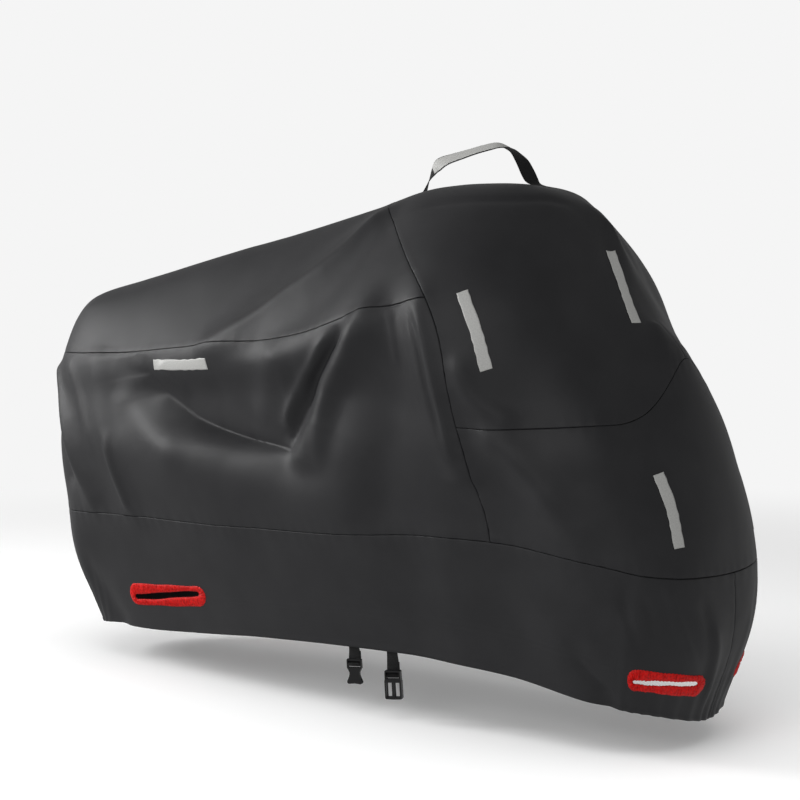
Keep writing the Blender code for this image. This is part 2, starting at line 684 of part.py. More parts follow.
def buckle_cuts(kind, depth):
    """Each cut's lowest and highest corner; all of them go right through the depth."""
    half = SLOT_WIDTH / 2
    cuts = {
        "slot": ((-half, -depth, SLOT_BOTTOM), (half, depth, SLOT_TOP)),
        # Behind the top bar the strap comes down into a recess.
        "recess": ((-half, TOP_BAR_BACK, SLOT_TOP - BUCKLE_EDGE), (half, depth, -SLOT_TOP)),
    }
    if kind == "female":
        half = SOCKET_WIDTH / 2
        cuts["socket"] = ((-half, -SOCKET_DEPTH / 2, -SOCKET_BELOW), (half, SOCKET_DEPTH / 2, SOCKET_TOP))
        for name, middle in (("window_left", -WINDOW_MIDDLE), ("window_right", WINDOW_MIDDLE)):
            low, high = middle - WINDOW_WIDTH / 2, middle + WINDOW_WIDTH / 2
            cuts[name] = ((low, -depth, WINDOW_BOTTOM), (high, depth, WINDOW_TOP))
    return cuts


def make_buckle(kind, place, acetal, home, cutters):
    """A buckle half hanging under its strap: x along its width, y in, z up from its top."""
    depth, outline = BUCKLES[kind]
    body = to_object(hang(plate(outline, depth), place), f"buckle_{kind}", acetal, home)
    for name, (low, high) in buckle_cuts(kind, depth).items():
        add_boolean(body, "DIFFERENCE", hang(box(low, high), place), name, cutters)
    # The tension bar reaches a little into the slot's sides.
    half, tall, deep = SLOT_WIDTH / 2 + BAR_REACH, BAR_TALL / 2, BAR_DEPTH / 2
    bar = box((-half, -deep, BAR_LEVEL - tall), (half, deep, BAR_LEVEL + tall))
    add_boolean(body, "UNION", hang(bar, place), "tension_bar", cutters)


def strap_path(drop, slope):
    """A strap's path before it is twisted: x along the buckle's width, y in, z up."""
    path = [(0, slope * h + STRAP_LIFT, drop + h) for h in (STRAP_END, STRAP_END / 2, STRAP_LEAVES)]
    path.append((0, -STRAP_LOOP[0, 0] * STRAP_EASE[0], drop * STRAP_EASE[1]))
    return np.array(path + [(0, -out, up) for out, up in STRAP_LOOP], float)


def make_straps(webbing, acetal, home, cutters):
    half = WEBBING_THICK / 2
    for kind, (s, drop, twist, lean) in STRAPS.items():
        hem, inside = draped((s, s), (HEM, HEM - SLOPE_LEVELS), -CLOTH - PIECE_GAP - half)
        top = Vector(hem) - Vector((0, 0, drop))
        leaning = Matrix.Translation(top) @ Matrix.Rotation(math.radians(-lean), 4, "Y")
        turned = Matrix.Rotation(math.radians(twist), 4, "Z")
        make_buckle(kind, leaning @ turned, acetal, home, cutters)
        path = strap_path(drop, (inside[1] - hem[1]) / (inside[2] - hem[2]))
        flat = np.zeros(len(path))
        mesh = ribbon(path, (1, 0, 0), flat, WEBBING_WIDTH, WEBBING_THICK, STRAP_STEPS, half)
        for vert in mesh.verts:
            share = min(max(1 - vert.co.z / drop, 0), 1)
            turn = math.radians(twist) * share * share * (3 - 2 * share)
            vert.co = leaning @ Matrix.Rotation(turn, 4, "Z") @ vert.co
        to_object(mesh, f"buckle_strap_{kind}", webbing, home)


# ---- Build ------------------------------------------------------------------------
clear_scene()
parts = collection("motorcycle_cover")
cutters = collection("cutters")
CLOTH_BLACK = material("coated_polyester", (0.030, 0.030, 0.032), 0.55)
WEBBING_BLACK = material("polypropylene_webbing", (0.012, 0.012, 0.013), 0.6)
REFLECTIVE = material("reflective_tape", (0.45, 0.45, 0.44), 0.35)
BINDING_RED = material("polyester_binding", (0.74, 0.015, 0.012), 0.6)
ACETAL = material("moulded_acetal", (0.010, 0.010, 0.011), 0.25)
panels = make_panels(CLOTH_BLACK, parts)
make_tapes(panels, REFLECTIVE, parts)
make_lock_holes(panels, BINDING_RED, parts, cutters)
make_handle(WEBBING_BLACK, REFLECTIVE, parts)
make_straps(WEBBING_BLACK, ACETAL, parts, cutters)
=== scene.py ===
"""The looks of a fitted motorcycle cover, empty, in the shape it takes over the machine.

Metres, +X ahead, +Y to the machine's left, +Z up. The origin is on the underside of the
cloth at the highest part of the top, where the machine's top holds the cover up.
"""
import math

import bmesh
import bpy
import numpy as np
from mathutils import Matrix, Vector, noise


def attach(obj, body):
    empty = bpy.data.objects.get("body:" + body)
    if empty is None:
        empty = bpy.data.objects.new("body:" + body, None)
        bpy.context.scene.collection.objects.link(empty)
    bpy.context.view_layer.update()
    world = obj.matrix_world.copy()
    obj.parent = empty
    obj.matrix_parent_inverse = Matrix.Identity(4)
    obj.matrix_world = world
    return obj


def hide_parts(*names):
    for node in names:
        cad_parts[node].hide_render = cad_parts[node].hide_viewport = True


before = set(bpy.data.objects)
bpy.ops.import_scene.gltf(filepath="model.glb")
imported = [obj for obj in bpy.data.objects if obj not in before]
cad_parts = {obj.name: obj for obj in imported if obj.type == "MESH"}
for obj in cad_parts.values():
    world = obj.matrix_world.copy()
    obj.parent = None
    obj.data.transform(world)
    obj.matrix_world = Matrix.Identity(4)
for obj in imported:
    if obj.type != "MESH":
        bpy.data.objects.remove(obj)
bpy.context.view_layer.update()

# ---- Driving sizes ----
TOP_HEIGHT = 1.208          # the origin above the ground that the machine stands on
SHEET = 0.0012              # thickness of the coated cloth
GRID = 0.0066               # spacing of the cloth's vertices
JOINED = 1e-5               # vertices of a sheet that are this close become one
CLOSED = 1e-6               # and of a band that is closed on itself
# Closer lines of vertices beside a seam. The first lies past it, under the other panel.
SEAM_LINES = (-0.0012, 0.0009, 0.0018, 0.0028, 0.0041, 0.0062, 0.0096)
SEAM_GAP_S = 0.0022         # half the gap at an upright seam, in sections
SEAM_GAP_V = 0.0020         # half the gap at a level seam, in levels
SEAM_DEPTH = 0.0042         # how far the sewn edges turn in, within the first close line
SEAM_DIP = 0.0010           # how far the cloth dips towards them
SEAM_TURN = 0.0045          # over this width
SEAM_ROLL = 0.0003          # the height of the soft roll beside a seam
ROLL_OFF, ROLL_WIDTH = 0.0125, 0.006    # its middle from the seam, and its half width
PUCKER = 0.0006             # the height of the pulls that the thread makes beside a seam
PUCKER_PITCH = 0.0061       # along the seam, for each radian of the pulls' wave
PUCKER_DRIFT = 0.047        # and of the slower wave that their spacing drifts by
PUCKER_REACH = 0.016        # how far out they fade
PUCKER_END = 0.08           # and where they end
HEM_WIDTH = 0.016           # the turned hem
HEM_SWELL = 0.0012          # how far its fold stands out, and the depth of its stitched groove
HEM_GROOVE = 0.0022         # half width of the groove

# ---- The form ----
# One row for each upright section, from the middle of the tail round the right side to
# the middle of the nose. A section leaves the ridge at x = pivot and runs out level along
# its heading: 0 is back, 90 is out to the side, 180 is ahead. It passes the ridge, the
# shoulder, the upper seam, the waist, the belly, the skirt seam and the hem, each at its
# distance out from the pivot and its height above the ground.
SECTION_COLUMNS = (
    "pivot", "heading", "ridge_h",
    "shoulder_r", "shoulder_h", "upper_r", "upper_h", "waist_r", "waist_h",
    "belly_r", "belly_h", "skirt_r", "skirt_h", "hem_r", "hem_h",
)
SECTIONS = np.array((
    (-1.05, 0, 1.000, .169, .946, .237, .811, .243, .700, .250, .560, .219, .398, .110, .085),
    (-1.04, 40, 1.003, .166, .950, .237, .812, .243, .700, .250, .560, .222, .392, .125, .085),
    (-1.01, 75, 1.010, .152, .957, .238, .813, .252, .700, .258, .560, .230, .396, .158, .095),
    (-0.87, 90, 1.039, .140, .993, .255, .820, .275, .710, .285, .570, .252, .405, .185, .103),
    (-0.67, 90, 1.078, .130, 1.04, .276, .836, .305, .718, .330, .585, .280, .408, .212, .121),
    (-0.45, 90, 1.121, .130, 1.08, .302, .853, .325, .725, .350, .590, .305, .412, .240, .143),
    (-0.23, 90, 1.169, .140, 1.124, .336, .881, .345, .730, .355, .590, .320, .420, .250, .155),
    (-0.05, 90, 1.206, .160, 1.170, .361, .924, .350, .735, .350, .590, .320, .430, .250, .158),
    (0.12, 90, 1.213, .165, 1.176, .370, .955, .350, .692, .330, .580, .300, .443, .245, .155),
    (0.23, 105, 1.200, .120, 1.160, .320, .955, .335, .685, .320, .570, .290, .438, .238, .142),
    (0.31, 125, 1.165, .085, 1.092, .180, .955, .335, .700, .345, .570, .335, .412, .265, .114),
    (0.35, 140, 1.137, .055, 1.054, .119, .945, .256, .714, .302, .590, .340, .392, .272, .096),
    (0.37, 180, 1.119, .036, 1.054, .094, .930, .188, .828, .267, .620, .301, .380, .245, .060),
))
NOSE = len(SECTIONS) - 1    # section number at the middle of the nose; the tail's is 0
RIDGE, SHOULDER, UPPER, WAIST, BELLY, SKIRT, HEM = range(7)

# The section at which the upright seam behind the fairing crosses each level.
UPRIGHT_SEAM = (6.30, 6.60, 8.10, 8.43, 8.56, 8.72, 8.88)

# The hollow that hangs between the seat and the tail, under the upper seam. It is deepest
# along a valley, which lies at this level in each section.
HOLLOW_COLUMNS = ("section", "valley", "depth")
HOLLOW = np.array((
    (3.28, 2.00, 0.000),
    (3.42, 2.45, 0.022),
    (3.64, 2.92, 0.046),
    (4.18, 3.29, 0.070),
    (4.60, 3.49, 0.082),
    (5.05, 3.70, 0.085),
    (5.66, 3.90, 0.070),
    (5.82, 3.29, 0.056),
    (6.08, 2.82, 0.042),
    (6.52, 2.29, 0.020),
    (6.85, 2.02, 0.000),
))
HOLLOW_CURVE = 1.2          # how slowly its depth starts under the upper seam
HOLLOW_LEFT = 0.7           # the share of it that shows on the left side
SHELF = 0.25                # how far past its valley the hollow has filled out again
BLEND = 0.006               # how softly its depths pass into each other

# Soft ridges (+) and troughs (-) through three points in sections and levels. "left" is
# the share of each that shows on the left side.
FOLD_COLUMNS = ("s0", "v0", "s1", "v1", "s2", "v2", "width", "height", "left")
FOLDS = {
    "top_ridge": (6.42, 1.10, 5.72, 1.50, 4.53, 2.01, .040, .014, .7),
    "under_top_ridge": (6.75, 1.25, 6.10, 1.72, 5.30, 1.92, .056, -.008, .7),
    "flank_ridge": (7.16, 2.08, 6.36, 2.85, 5.92, 3.95, .042, .020, .6),
    "flank_trough": (6.62, 2.20, 6.08, 2.82, 5.76, 3.60, .032, -.006, .0),
    "behind_fairing": (8.00, 2.10, 8.20, 2.95, 8.42, 3.95, .034, .012, .5),
    "side_trough": (7.60, 2.25, 7.45, 3.30, 7.20, 4.60, .075, -.016, .8),
    "tail_ridge": (1.05, 2.45, 1.70, 3.50, 2.20, 4.80, .034, .010, .3),
    "tail_trough": (0.60, 2.60, 1.20, 3.40, 1.60, 4.50, .034, -.016, .3),
    "tail_corner_ridge": (2.40, 2.15, 2.60, 3.60, 3.00, 4.90, .040, .008, .0),
    "fairing_ridge": (8.55, 2.60, 9.05, 3.30, 9.66, 4.60, .050, .015, .8),
    "fairing_trough": (10.0, 2.10, 10.2, 2.90, 10.4, 3.70, .090, -.010, .8),
    "nose_pleat": (11.23, 5.02, 11.41, 5.28, 11.58, 5.44, .040, .010, .0),
    "nose_swell": (10.9, 5.46, 11.6, 5.50, 12.0, 5.50, .078, .023, 1.0),
    "tail_swell": (0.00, 5.42, 0.60, 5.42, 1.50, 5.46, .080, .024, 1.0),
    "wheel_crease": (10.55, 5.22, 10.78, 5.34, 10.92, 5.45, .036, -.008, .4),
    "skirt_swell": (8.20, 5.20, 9.20, 5.35, 10.0, 5.70, .080, .012, .6),
    "skirt_dip": (5.20, 5.15, 6.40, 5.45, 7.40, 5.75, .090, -.010, .8),
    "hem_tuck_front": (9.80, 5.72, 10.05, 5.85, 10.30, 5.97, .030, -.008, .5),
    "hem_tuck_rear": (1.80, 5.60, 2.10, 5.80, 2.30, 5.98, .034, -.010, .5),
}
METRES_PER_SECTION = 0.17   # a typical spacing, to give the folds' widths in metres
METRES_PER_LEVEL = 0.19

# Creases of the cloth, finer than its folds. Width and height are in metres; steep makes the
# side on the right of the run that much narrower, and on the left where it is below zero.
# "left" is the share that shows on the cover's left side. Each passes these sections and
# levels.
CREASE_COLUMNS = ("width", "height", "steep", "left", "knots")
CREASES = {
    "hollow_left": (.020, .004, 0, .5, ((3.66, 2.16), (3.78, 2.50), (4.10, 3.00))),
    "hollow_middle": (.040, .007, 0, .8, ((5.62, 1.98), (5.42, 2.72), (5.16, 3.45))),
    "hollow_ridge": (.015, .010, 0, .5, ((6.52, 2.05), (6.21, 2.41), (5.79, 2.98), (5.55, 3.58))),
    "hollow_slit": (.010, -.007, 0, .5, ((6.80, 2.05), (6.48, 2.32), (6.06, 2.83), (5.84, 3.20))),
    "flank_swell": (.045, .006, 0, .8, ((2.75, 2.75), (3.40, 3.50), (4.30, 4.30))),
    "flank_light": (
        .028, .010, 0, .5,
        ((7.21, 2.00), (6.90, 2.40), (6.42, 2.92), (6.28, 3.60), (6.20, 4.30)),
    ),
    "top_light": (
        .016, .006, 0, .6,
        ((6.60, .85), (6.28, 1.24), (5.92, 1.43), (5.53, 1.57), (5.10, 1.76), (4.40, 2.0)),
    ),
    "fan_first": (.010, .003, 0, .6, ((7.50, 1.99), (7.58, 2.25), (7.64, 2.60))),
    "fan_dark": (.009, -.005, 0, .6, ((7.84, 2.00), (8.05, 2.35), (8.14, 2.69), (8.30, 3.30))),
    "fan_last": (.010, .005, 0, .6, ((8.01, 2.01), (8.15, 2.38), (8.25, 2.80), (8.40, 3.70))),
    "tail_fold_a": (.018, .0055, .4, .4, ((.90, 2.10), (1.50, 3.10), (2.20, 4.90))),
    "tail_fold_b": (.016, .006, .3, .4, ((2.68, 3.55), (2.87, 4.50), (3.03, 5.00))),
    "tail_slit": (.010, -.010, 0, .3, ((.80, 2.60), (1.19, 3.41), (1.55, 4.30))),
    "tail_fold_c": (.020, .004, 0, .4, ((1.60, 2.05), (2.05, 3.00), (2.50, 4.20))),
    "fairing_hook": (.022, .009, 0, .6, ((8.46, 2.36), (8.66, 2.72), (9.24, 2.98))),
    "front_light": (.040, .013, 0, .8, ((8.56, 3.02), (9.02, 3.30), (9.30, 3.80), (9.72, 4.70))),
    "top_edge": (.014, -.0035, 0, .8, ((6.90, 1.12), (7.86, 1.06), (8.84, .96), (9.82, .46))),
    "nose_light": (.020, .004, 0, .5, ((11.94, 2.20), (11.60, 2.85))),
    "nose_pleat": (.010, .006, .4, .0, ((11.05, 5.02), (11.14, 5.20), (11.28, 5.42), (11.50, 5.66))),
    "wheel_crease_a": (.007, -.0035, 0, .5, ((10.80, 5.14), (10.94, 5.32), (10.98, 5.44))),
    "wheel_crease_b": (
        .008, -.0040, 0, .5, ((10.40, 5.20), (10.56, 5.32), (10.72, 5.44), (10.80, 5.56)),
    ),
    "hem_crease": (.010, -.0050, 0, .5, ((9.72, 5.72), (10.02, 5.84), (10.30, 5.92))),
    "nose_fold_a": (.016, .005, .4, .5, ((11.55, 5.30), (11.68, 5.55), (11.78, 5.92))),
    "nose_fold_b": (.014, -.004, 0, .5, ((11.40, 5.10), (11.56, 5.45), (11.62, 5.80))),
}
CREASE_ENDS = 0.22          # the share of a crease over which each end fades in

# Gathers that the hem's elastic draws up at the tail and at the nose.
GATHER_PITCH = 0.030
GATHER_HEIGHT = 0.0015
GATHER_LEVEL = 5.45         # where they start
GATHER_TAIL, GATHER_NOSE = 2.3, 10.3    # the sections between which the hem lies plain
FADE_TAIL, FADE_NOSE = 0.8, 0.6         # over so many sections they reach their full height

# Soft unevenness all over: its size in metres and its height.
WAVES = ((0.16, 0.0016), (0.055, 0.00035))

# ---- Trim ----
TAPE_WIDTH = 0.026          # reflective tape
TAPE_THICK = 0.0007
TAPE_LIFT = 0.0003
TAPE_WAVE = 0.0006          # how far the sewn edges wander
TAPE_GRID = 0.003           # spacing of its vertices
TAPE_LONG = 0.17            # a typical length, for that spacing

# Tapes: whether there is one on each side, its flat length, the cloth it is sewn on, and the
# sections and levels along its middle.
TAPE_COLUMNS = ("both_sides", "flat_length", "under", "knots")
TAPES = {
    "fairing": (True, 0.170, "front_upper_cloth", ((8.50, 1.95), (8.68, 2.24), (8.80, 2.52))),
    "front": (False, 0.180, "front_upper_cloth", ((11.00, 0.98), (11.20, 1.60), (11.31, 2.22))),
    "nose": (True, 0.155, "front_lower_cloth", ((11.10, 3.97), (11.20, 4.36), (11.24, 4.75))),
    "tail": (True, 0.210, "rear_side_cloth", ((3.52, 2.27), (4.01, 2.30), (4.50, 2.31))),
}

# Lock holes: the middle in sections and levels, how much the hole rises ahead for its
# length, and the length and height over its binding.
LOCK_HOLE_COLUMNS = ("section", "level", "rise", "length", "height")
LOCK_HOLES = {
    "rear_right": (3.45, 5.695, 0.05, 0.310, 0.058),
    "rear_left": (3.45, 5.695, 0.05, 0.310, 0.058),
    "front_right": (11.17, 5.745, 0.02, 0.195, 0.052),
    "front_left": (10.80, 5.740, 0.02, 0.195, 0.052),
}
BINDING_BAND = 0.0205       # width of the gathered binding round the slit
BINDING_THICK = 0.0065
BINDING_SPACING = 0.0013    # of its vertices along the slit
BINDING_AROUND = 16         # and so many round the band
PLEAT_PITCH = 0.0075        # the gathers across the binding
PLEAT_HEIGHT = 0.0014
RUFFLE = 0.0006             # the fine crimp of its edges
SLIT_LEAN = 0.045           # how much the slit rises ahead for its length, inside the band
SLIT_PINCH = 0.0025         # how far its lips close at the ends

WEBBING_WIDTH = 0.030
WEBBING_THICK = 0.0018
BAND_AROUND = 20            # vertices round a band of webbing
BAND_EDGE = 0.35            # 1 would make its section an oval, 0 a sharp-edged one
BAND_NEAR = 0.05            # share of a row over which its direction is read
TRACED = 400                # points along it, to measure its length by
HANDLE_WIDTH = 0.036
HANDLE_TAPE_WIDTH = 0.031

# The handle runs along the middle of the top: how far ahead, how high above the cloth, and
# how its outer face is turned to the right, in degrees.
HANDLE_COLUMNS = ("x", "above", "roll")
HANDLE = np.array((
    (-0.176, 0.0005, 0),
    (-0.158, 0.0008, 0),
    (-0.143, 0.0050, 3),
    (-0.131, 0.0150, 20),
    (-0.117, 0.0400, 37),
    (-0.104, 0.0570, 56),
    (-0.090, 0.0680, 70),
    (-0.059, 0.0740, 50),
    (-0.013, 0.0790, 42),
    (0.027, 0.0850, 38),
    (0.066, 0.0890, 32),
    (0.097, 0.0845, 4),
    (0.112, 0.0790, 2),
    (0.125, 0.0700, 4),
    (0.143, 0.0500, 22),
    (0.157, 0.0270, 30),
    (0.166, 0.0130, 26),
    (0.177, 0.0030, 8),
    (0.192, 0.0003, 0),
    (0.210, -0.0006, 0),
))
HANDLE_TAPE_ROWS = (5, 11)  # the rows where the tape on its outer face starts and ends

# The buckle straps: where they are sewn inside the right hem, how far below it the buckle's
# top hangs, how the strap twists on the way down and how it leans ahead, in degrees.
STRAP_COLUMNS = ("section", "drop", "twist", "lean")
STRAPS = {
    "male": (6.42, 0.029, 14, 3),
    "female": (7.04, 0.043, 16, 4),
}
STRAP_END = 0.026           # how far the sewn end reaches up inside the hem
STRAP_GRID = 0.0012         # spacing of its vertices
# The loop round the buckle's bar: out from and up from the buckle's top.
STRAP_LOOP = np.array((
    (-0.0026, 0.012),
    (-0.0026, 0.004),
    (-0.0026, -0.002),
    (-0.0024, -0.0050),
    (0.0006, -0.0080),
    (0.0031, -0.0105),
    (0.0031, -0.0135),
    (0.0000, -0.0161),
    (-0.0032, -0.0135),
    (-0.0048, -0.0090),
    (-0.0054, -0.0030),
    (-0.0054, 0.006),
    (-0.0058, 0.018),
))
STRAP_LIFT = 0.0009         # of the sewn end from the smooth form of the hem's inside
STRAP_LEAVES = 0.002        # above the hem, where the strap leaves the cloth
STRAP_EASE = (0.6, 0.75)    # then at this share of the loop's first "out" and of the drop
SLOPE_LEVELS = 0.11         # how far up the cloth's slope is read, in levels
PIECE_GAP = 0.0003          # between a piece and what it is sewn to
CAD_CLOTH = 0.002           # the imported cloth's thickness, which the straps hang behind


# ---- Curves and the draped surface ----
def blend_four(a, b, c, d, part):
    """The smooth curve from b to c that heads for a and d beyond them."""
    return b + part / 2 * (c - a + part * (2 * a - 5 * b + 4 * c - d + part * (3 * (b - c) + d - a)))


def along_rows(rows, at):
    """A smooth curve through the rows, read at row numbers with a fraction."""
    first = np.clip(np.floor(at).astype(int), 0, len(rows) - 2)
    ends = np.concatenate((2 * rows[:1] - rows[1:2], rows, 2 * rows[-1:] - rows[-2:-1]))
    part = (at - first).reshape((-1,) + (1,) * (rows.ndim - 1))
    return blend_four(ends[first], ends[first + 1], ends[first + 2], ends[first + 3], part)


def along_columns(rows, at):
    """The same down each row, at one column number for each row."""
    first = np.clip(np.floor(at).astype(int), 0, rows.shape[1] - 2)
    ends = np.concatenate((rows, 2 * rows[:, -1:] - rows[:, -2:-1]), axis=1)
    ends = np.concatenate((2 * rows[:, :1] - rows[:, 1:2], ends), axis=1)
    row = np.arange(len(rows))
    return blend_four(*(ends[row, first + k] for k in range(4)), at - first)


def to_right_side(s, v):
    """Section and level as on the right side, and which side the point is on (-1 right).

    Past the nose or the tail, and at levels below zero, a point is on the left side.
    """
    side = np.where((s >= 0) & (s <= NOSE), -1.0, 1.0) * np.where(v < 0, -1.0, 1.0)
    s = np.where(s > NOSE, 2 * NOSE - s, np.abs(s))
    return s, np.abs(v), side


def form(s, v):
    """Points of the smooth form, before its folds."""
    s, v, side = to_right_side(s, v)
    before, after = SECTIONS[1:2].copy(), SECTIONS[-2:-1].copy()
    before[0, 1] *= -1
    after[0, 1] = 360 - after[0, 1]
    slope = np.gradient(SECTIONS[:, 2], SECTIONS[:, 0])
    section = along_rows(np.concatenate((before, SECTIONS, after)), s + 1)
    slope = np.interp(s, np.arange(NOSE + 1), slope)
    heading = np.radians(section[:, 1])
    out, height = section[:, 3::2], section[:, 4::2]
    # Across the ridge the form goes on level with it, so the ridge stays smooth.
    across = height[:, :1] + 2 * (slope * out[:, 0] * np.cos(heading))[:, None]
    out = np.concatenate((-out[:, :1], 0 * out[:, :1], out), axis=1)
    height = np.concatenate((across, section[:, 2:3], height), axis=1)
    out, height = along_columns(out, v + 1), along_columns(height, v + 1)
    x = section[:, 0] - out * np.cos(heading)
    return np.stack((x, side * out * np.sin(heading), height - TOP_HEIGHT), axis=1)


def outward(s, v):
    """Unit normals of the form, pointing out."""
    step = 0.02
    s = np.clip(s, step, 2 * NOSE - step)
    s = np.where(np.abs(s - NOSE) < step, NOSE - step, s)
    across = form(s + step / 2, v) - form(s - step / 2, v)
    down = form(s, v + step / 2) - form(s, v - step / 2)
    normal = np.cross(down, across)
    return normal / np.linalg.norm(normal, axis=1, keepdims=True)


def metric(s, v):
    """Sections and levels as rough metres, to measure the folds by."""
    return np.stack((s * METRES_PER_SECTION, v * METRES_PER_LEVEL), axis=-1)


def nearest_on_run(at, start, end):
    """For each point: the nearest share of the run from start to end, the way from there to
    the point, and how long that is."""
    run = end - start
    part = np.clip((at - start) @ run / (run @ run), 0, 1)
    off = at - start - part[:, None] * run
    return part, off, np.linalg.norm(off, axis=1)


def hollow_depth(s, v):
    """The hollow deepens evenly down to its valley and fills out again past it."""
    at, knots = metric(s, v), metric(HOLLOW[:, 0], HOLLOW[:, 1])
    gaps, depths = [], []
    for k in range(len(knots) - 1):
        part, _, gap = nearest_on_run(at, knots[k], knots[k + 1])
        gaps.append(gap)
        depths.append(HOLLOW[k, 2] + part * (HOLLOW[k + 1, 2] - HOLLOW[k, 2]))
    near = np.min(gaps, axis=0)
    weights = ((near + BLEND) / (np.array(gaps) + BLEND)) ** 5
    deep = (weights * depths).sum(axis=0) / weights.sum(axis=0)
    valley = np.interp(s, HOLLOW[:, 0], HOLLOW[:, 1])
    depth = np.interp(s, HOLLOW[:, 0], HOLLOW[:, 2])
    share = np.clip((v - UPPER) / np.maximum(valley - UPPER, 1e-3), 0, 1) ** HOLLOW_CURVE
    inside = (v < valley) & (valley > UPPER)
    past = deep * np.clip(1 - near / SHELF, 0, 1) ** 2
    return np.where(v <= UPPER, 0, -np.where(inside, depth * share, past))


def fold_height(s, v):
    """How far the folds stand out from the form."""
    s, v, side = to_right_side(s, v)
    at = metric(s, v)
    height = hollow_depth(s, v) * np.where(side < 0, 1.0, HOLLOW_LEFT)
    for s0, v0, s1, v1, s2, v2, width, tall, left in FOLDS.values():
        knots = metric(np.array((s0, s1, s2)), np.array((v0, v1, v2)))
        near = np.minimum(*(nearest_on_run(at, knots[k], knots[k + 1])[2] for k in (0, 1)))
        height += tall * np.exp(-((near / width) ** 2)) * np.where(side < 0, 1.0, left)
    return height


def draped(s, v, lift=0.0):
    """Points of the draped cloth's outer face, or lifted from it."""
    s, v = np.atleast_1d(s).astype(float), np.atleast_1d(v).astype(float)
    return form(s, v) + outward(s, v) * (fold_height(s, v) + lift)[:, None]


def upright_seam(v):
    """The section at which the upright seam crosses each level."""
    rows = np.array(UPRIGHT_SEAM)[:, None]
    return along_rows(rows, np.abs(v))[:, 0]


def ease(share):
    """From 0 to 1 with no corner at either end."""
    share = np.clip(share, 0, 1)
    return share * share * (3 - 2 * share)


def near_line(points, line, way):
    """For each point: how near the line is, the share along it, and whether right of it."""
    gap = np.full(len(points), np.inf)
    at, right = np.zeros(len(points)), np.zeros(len(points))
    for k in range(len(line) - 1):
        part, off, here = nearest_on_run(points, line[k], line[k + 1])
        closer = here < gap
        gap = np.where(closer, here, gap)
        at = np.where(closer, (k + part) / (len(line) - 1), at)
        turned = (np.cross(line[k + 1] - line[k], off) * way).sum(axis=1)
        right = np.where(closer, turned, right)
    return gap, at, right < 0


def crease_height(base, way, side):
    """How far the creases stand out, at points of the form."""
    mirror = np.where(side < 0, 1.0, -1.0)[:, None] * (0, 1, 0) + (1, 0, 1)
    base, way = base * mirror, way * mirror
    height = np.zeros(len(base))
    for width, tall, steep, left, knots in CREASES.values():
        knots = np.array(knots, float)
        s, v = along_rows(knots, np.linspace(0, len(knots) - 1, 7 * len(knots) - 6)).T
        line = form(s, v)
        low, high = line.min(axis=0) - 3 * width, line.max(axis=0) + 3 * width
        inside = np.flatnonzero(((base > low) & (base < high)).all(axis=1))
        gap, at, right = near_line(base[inside], line, way[inside])
        reach = width * np.where(right, 1 - max(steep, 0), 1 + min(steep, 0))
        fade = ease(at / CREASE_ENDS) * ease((1 - at) / CREASE_ENDS)
        share = np.where(side[inside] < 0, 1.0, left)
        height[inside] += tall * fade * share * np.exp(-((gap / reach) ** 2))
    return height


def gathers(s, v):
    """The hem's gathers, at the tail and at the nose."""
    s, v, _ = to_right_side(s, v)
    drawn = ease((GATHER_TAIL - s) / FADE_TAIL) + ease((s - GATHER_NOSE) / FADE_NOSE)
    down = ease((v - GATHER_LEVEL) / (HEM - GATHER_LEVEL))
    # Their spacing drifts, so no two are alike.
    turn = s * METRES_PER_SECTION / GATHER_PITCH * 2 * np.pi
    turn += 1.6 * np.sin(3.1 * s) + np.sin(7.3 * s + 1)
    return GATHER_HEIGHT * drawn * down * (np.sin(turn) + 0.35 * np.sin(2.3 * turn + 1))


def waves(points):
    """Soft unevenness all over the cloth."""
    height = np.zeros(len(points))
    for size, tall in WAVES:
        height += tall * np.array([noise.noise(Vector(p / size)) for p in points])
    return height


def cloth(s, v, lift=0.0):
    """Points of the cloth's outer face with its creases, and the way out at each."""
    s, v = np.atleast_1d(s).astype(float), np.atleast_1d(v).astype(float)
    base, way = form(s, v), outward(s, v)
    side = to_right_side(s, v)[2]
    height = fold_height(s, v) + crease_height(base, way, side) + gathers(s, v) + waves(base)
    return base + way * (height + lift)[:, None], way


# ---- Materials ----
def linear(code):
    """An sRGB hex colour as a linear one."""
    parts = [int(code[k:k + 2], 16) / 255 for k in (1, 3, 5)]
    return (*(c / 12.92 if c <= 0.04045 else ((c + 0.055) / 1.055) ** 2.4 for c in parts), 1)


def add(tree, kind, settings=(), links=()):
    """A node with its settings, and what is linked to its sockets."""
    node = tree.nodes.new("ShaderNode" + kind)
    for key, value in dict(settings).items():
        if isinstance(key, int) or key in node.inputs:
            node.inputs[key].default_value = value
        else:
            setattr(node, key, value)
    for key, source in dict(links).items():
        tree.links.new(source, node.inputs[key])
    return node


def finish(name, colour, roughness, **sockets):
    """A new material, its tree and its shader. Uniform values are set on the shader."""
    made = bpy.data.materials.new(name)
    made.use_nodes = True
    shader = made.node_tree.nodes["Principled BSDF"]
    shader.inputs["Base Color"].default_value = linear(colour)
    shader.inputs["Roughness"].default_value = roughness
    for key, value in sockets.items():
        shader.inputs[key.replace("_", " ")].default_value = value
    return made, made.node_tree, shader


def threads(tree, pitch):
    """A plain weave over the cut's own layout, as a height from -1 to 1."""
    layout = add(tree, "UVMap", {"uv_map": "cut"}).outputs[0]
    ways = add(tree, "SeparateXYZ", links={0: layout})
    crests = {}
    for k in (0, 1):
        turns = {"operation": "MULTIPLY", 1: math.pi / pitch}
        turn = add(tree, "Math", turns, {0: ways.outputs[k]})
        crests[k] = add(tree, "Math", {"operation": "SINE"}, {0: turn.outputs[0]}).outputs[0]
    return add(tree, "Math", {"operation": "MULTIPLY"}, crests).outputs[0]


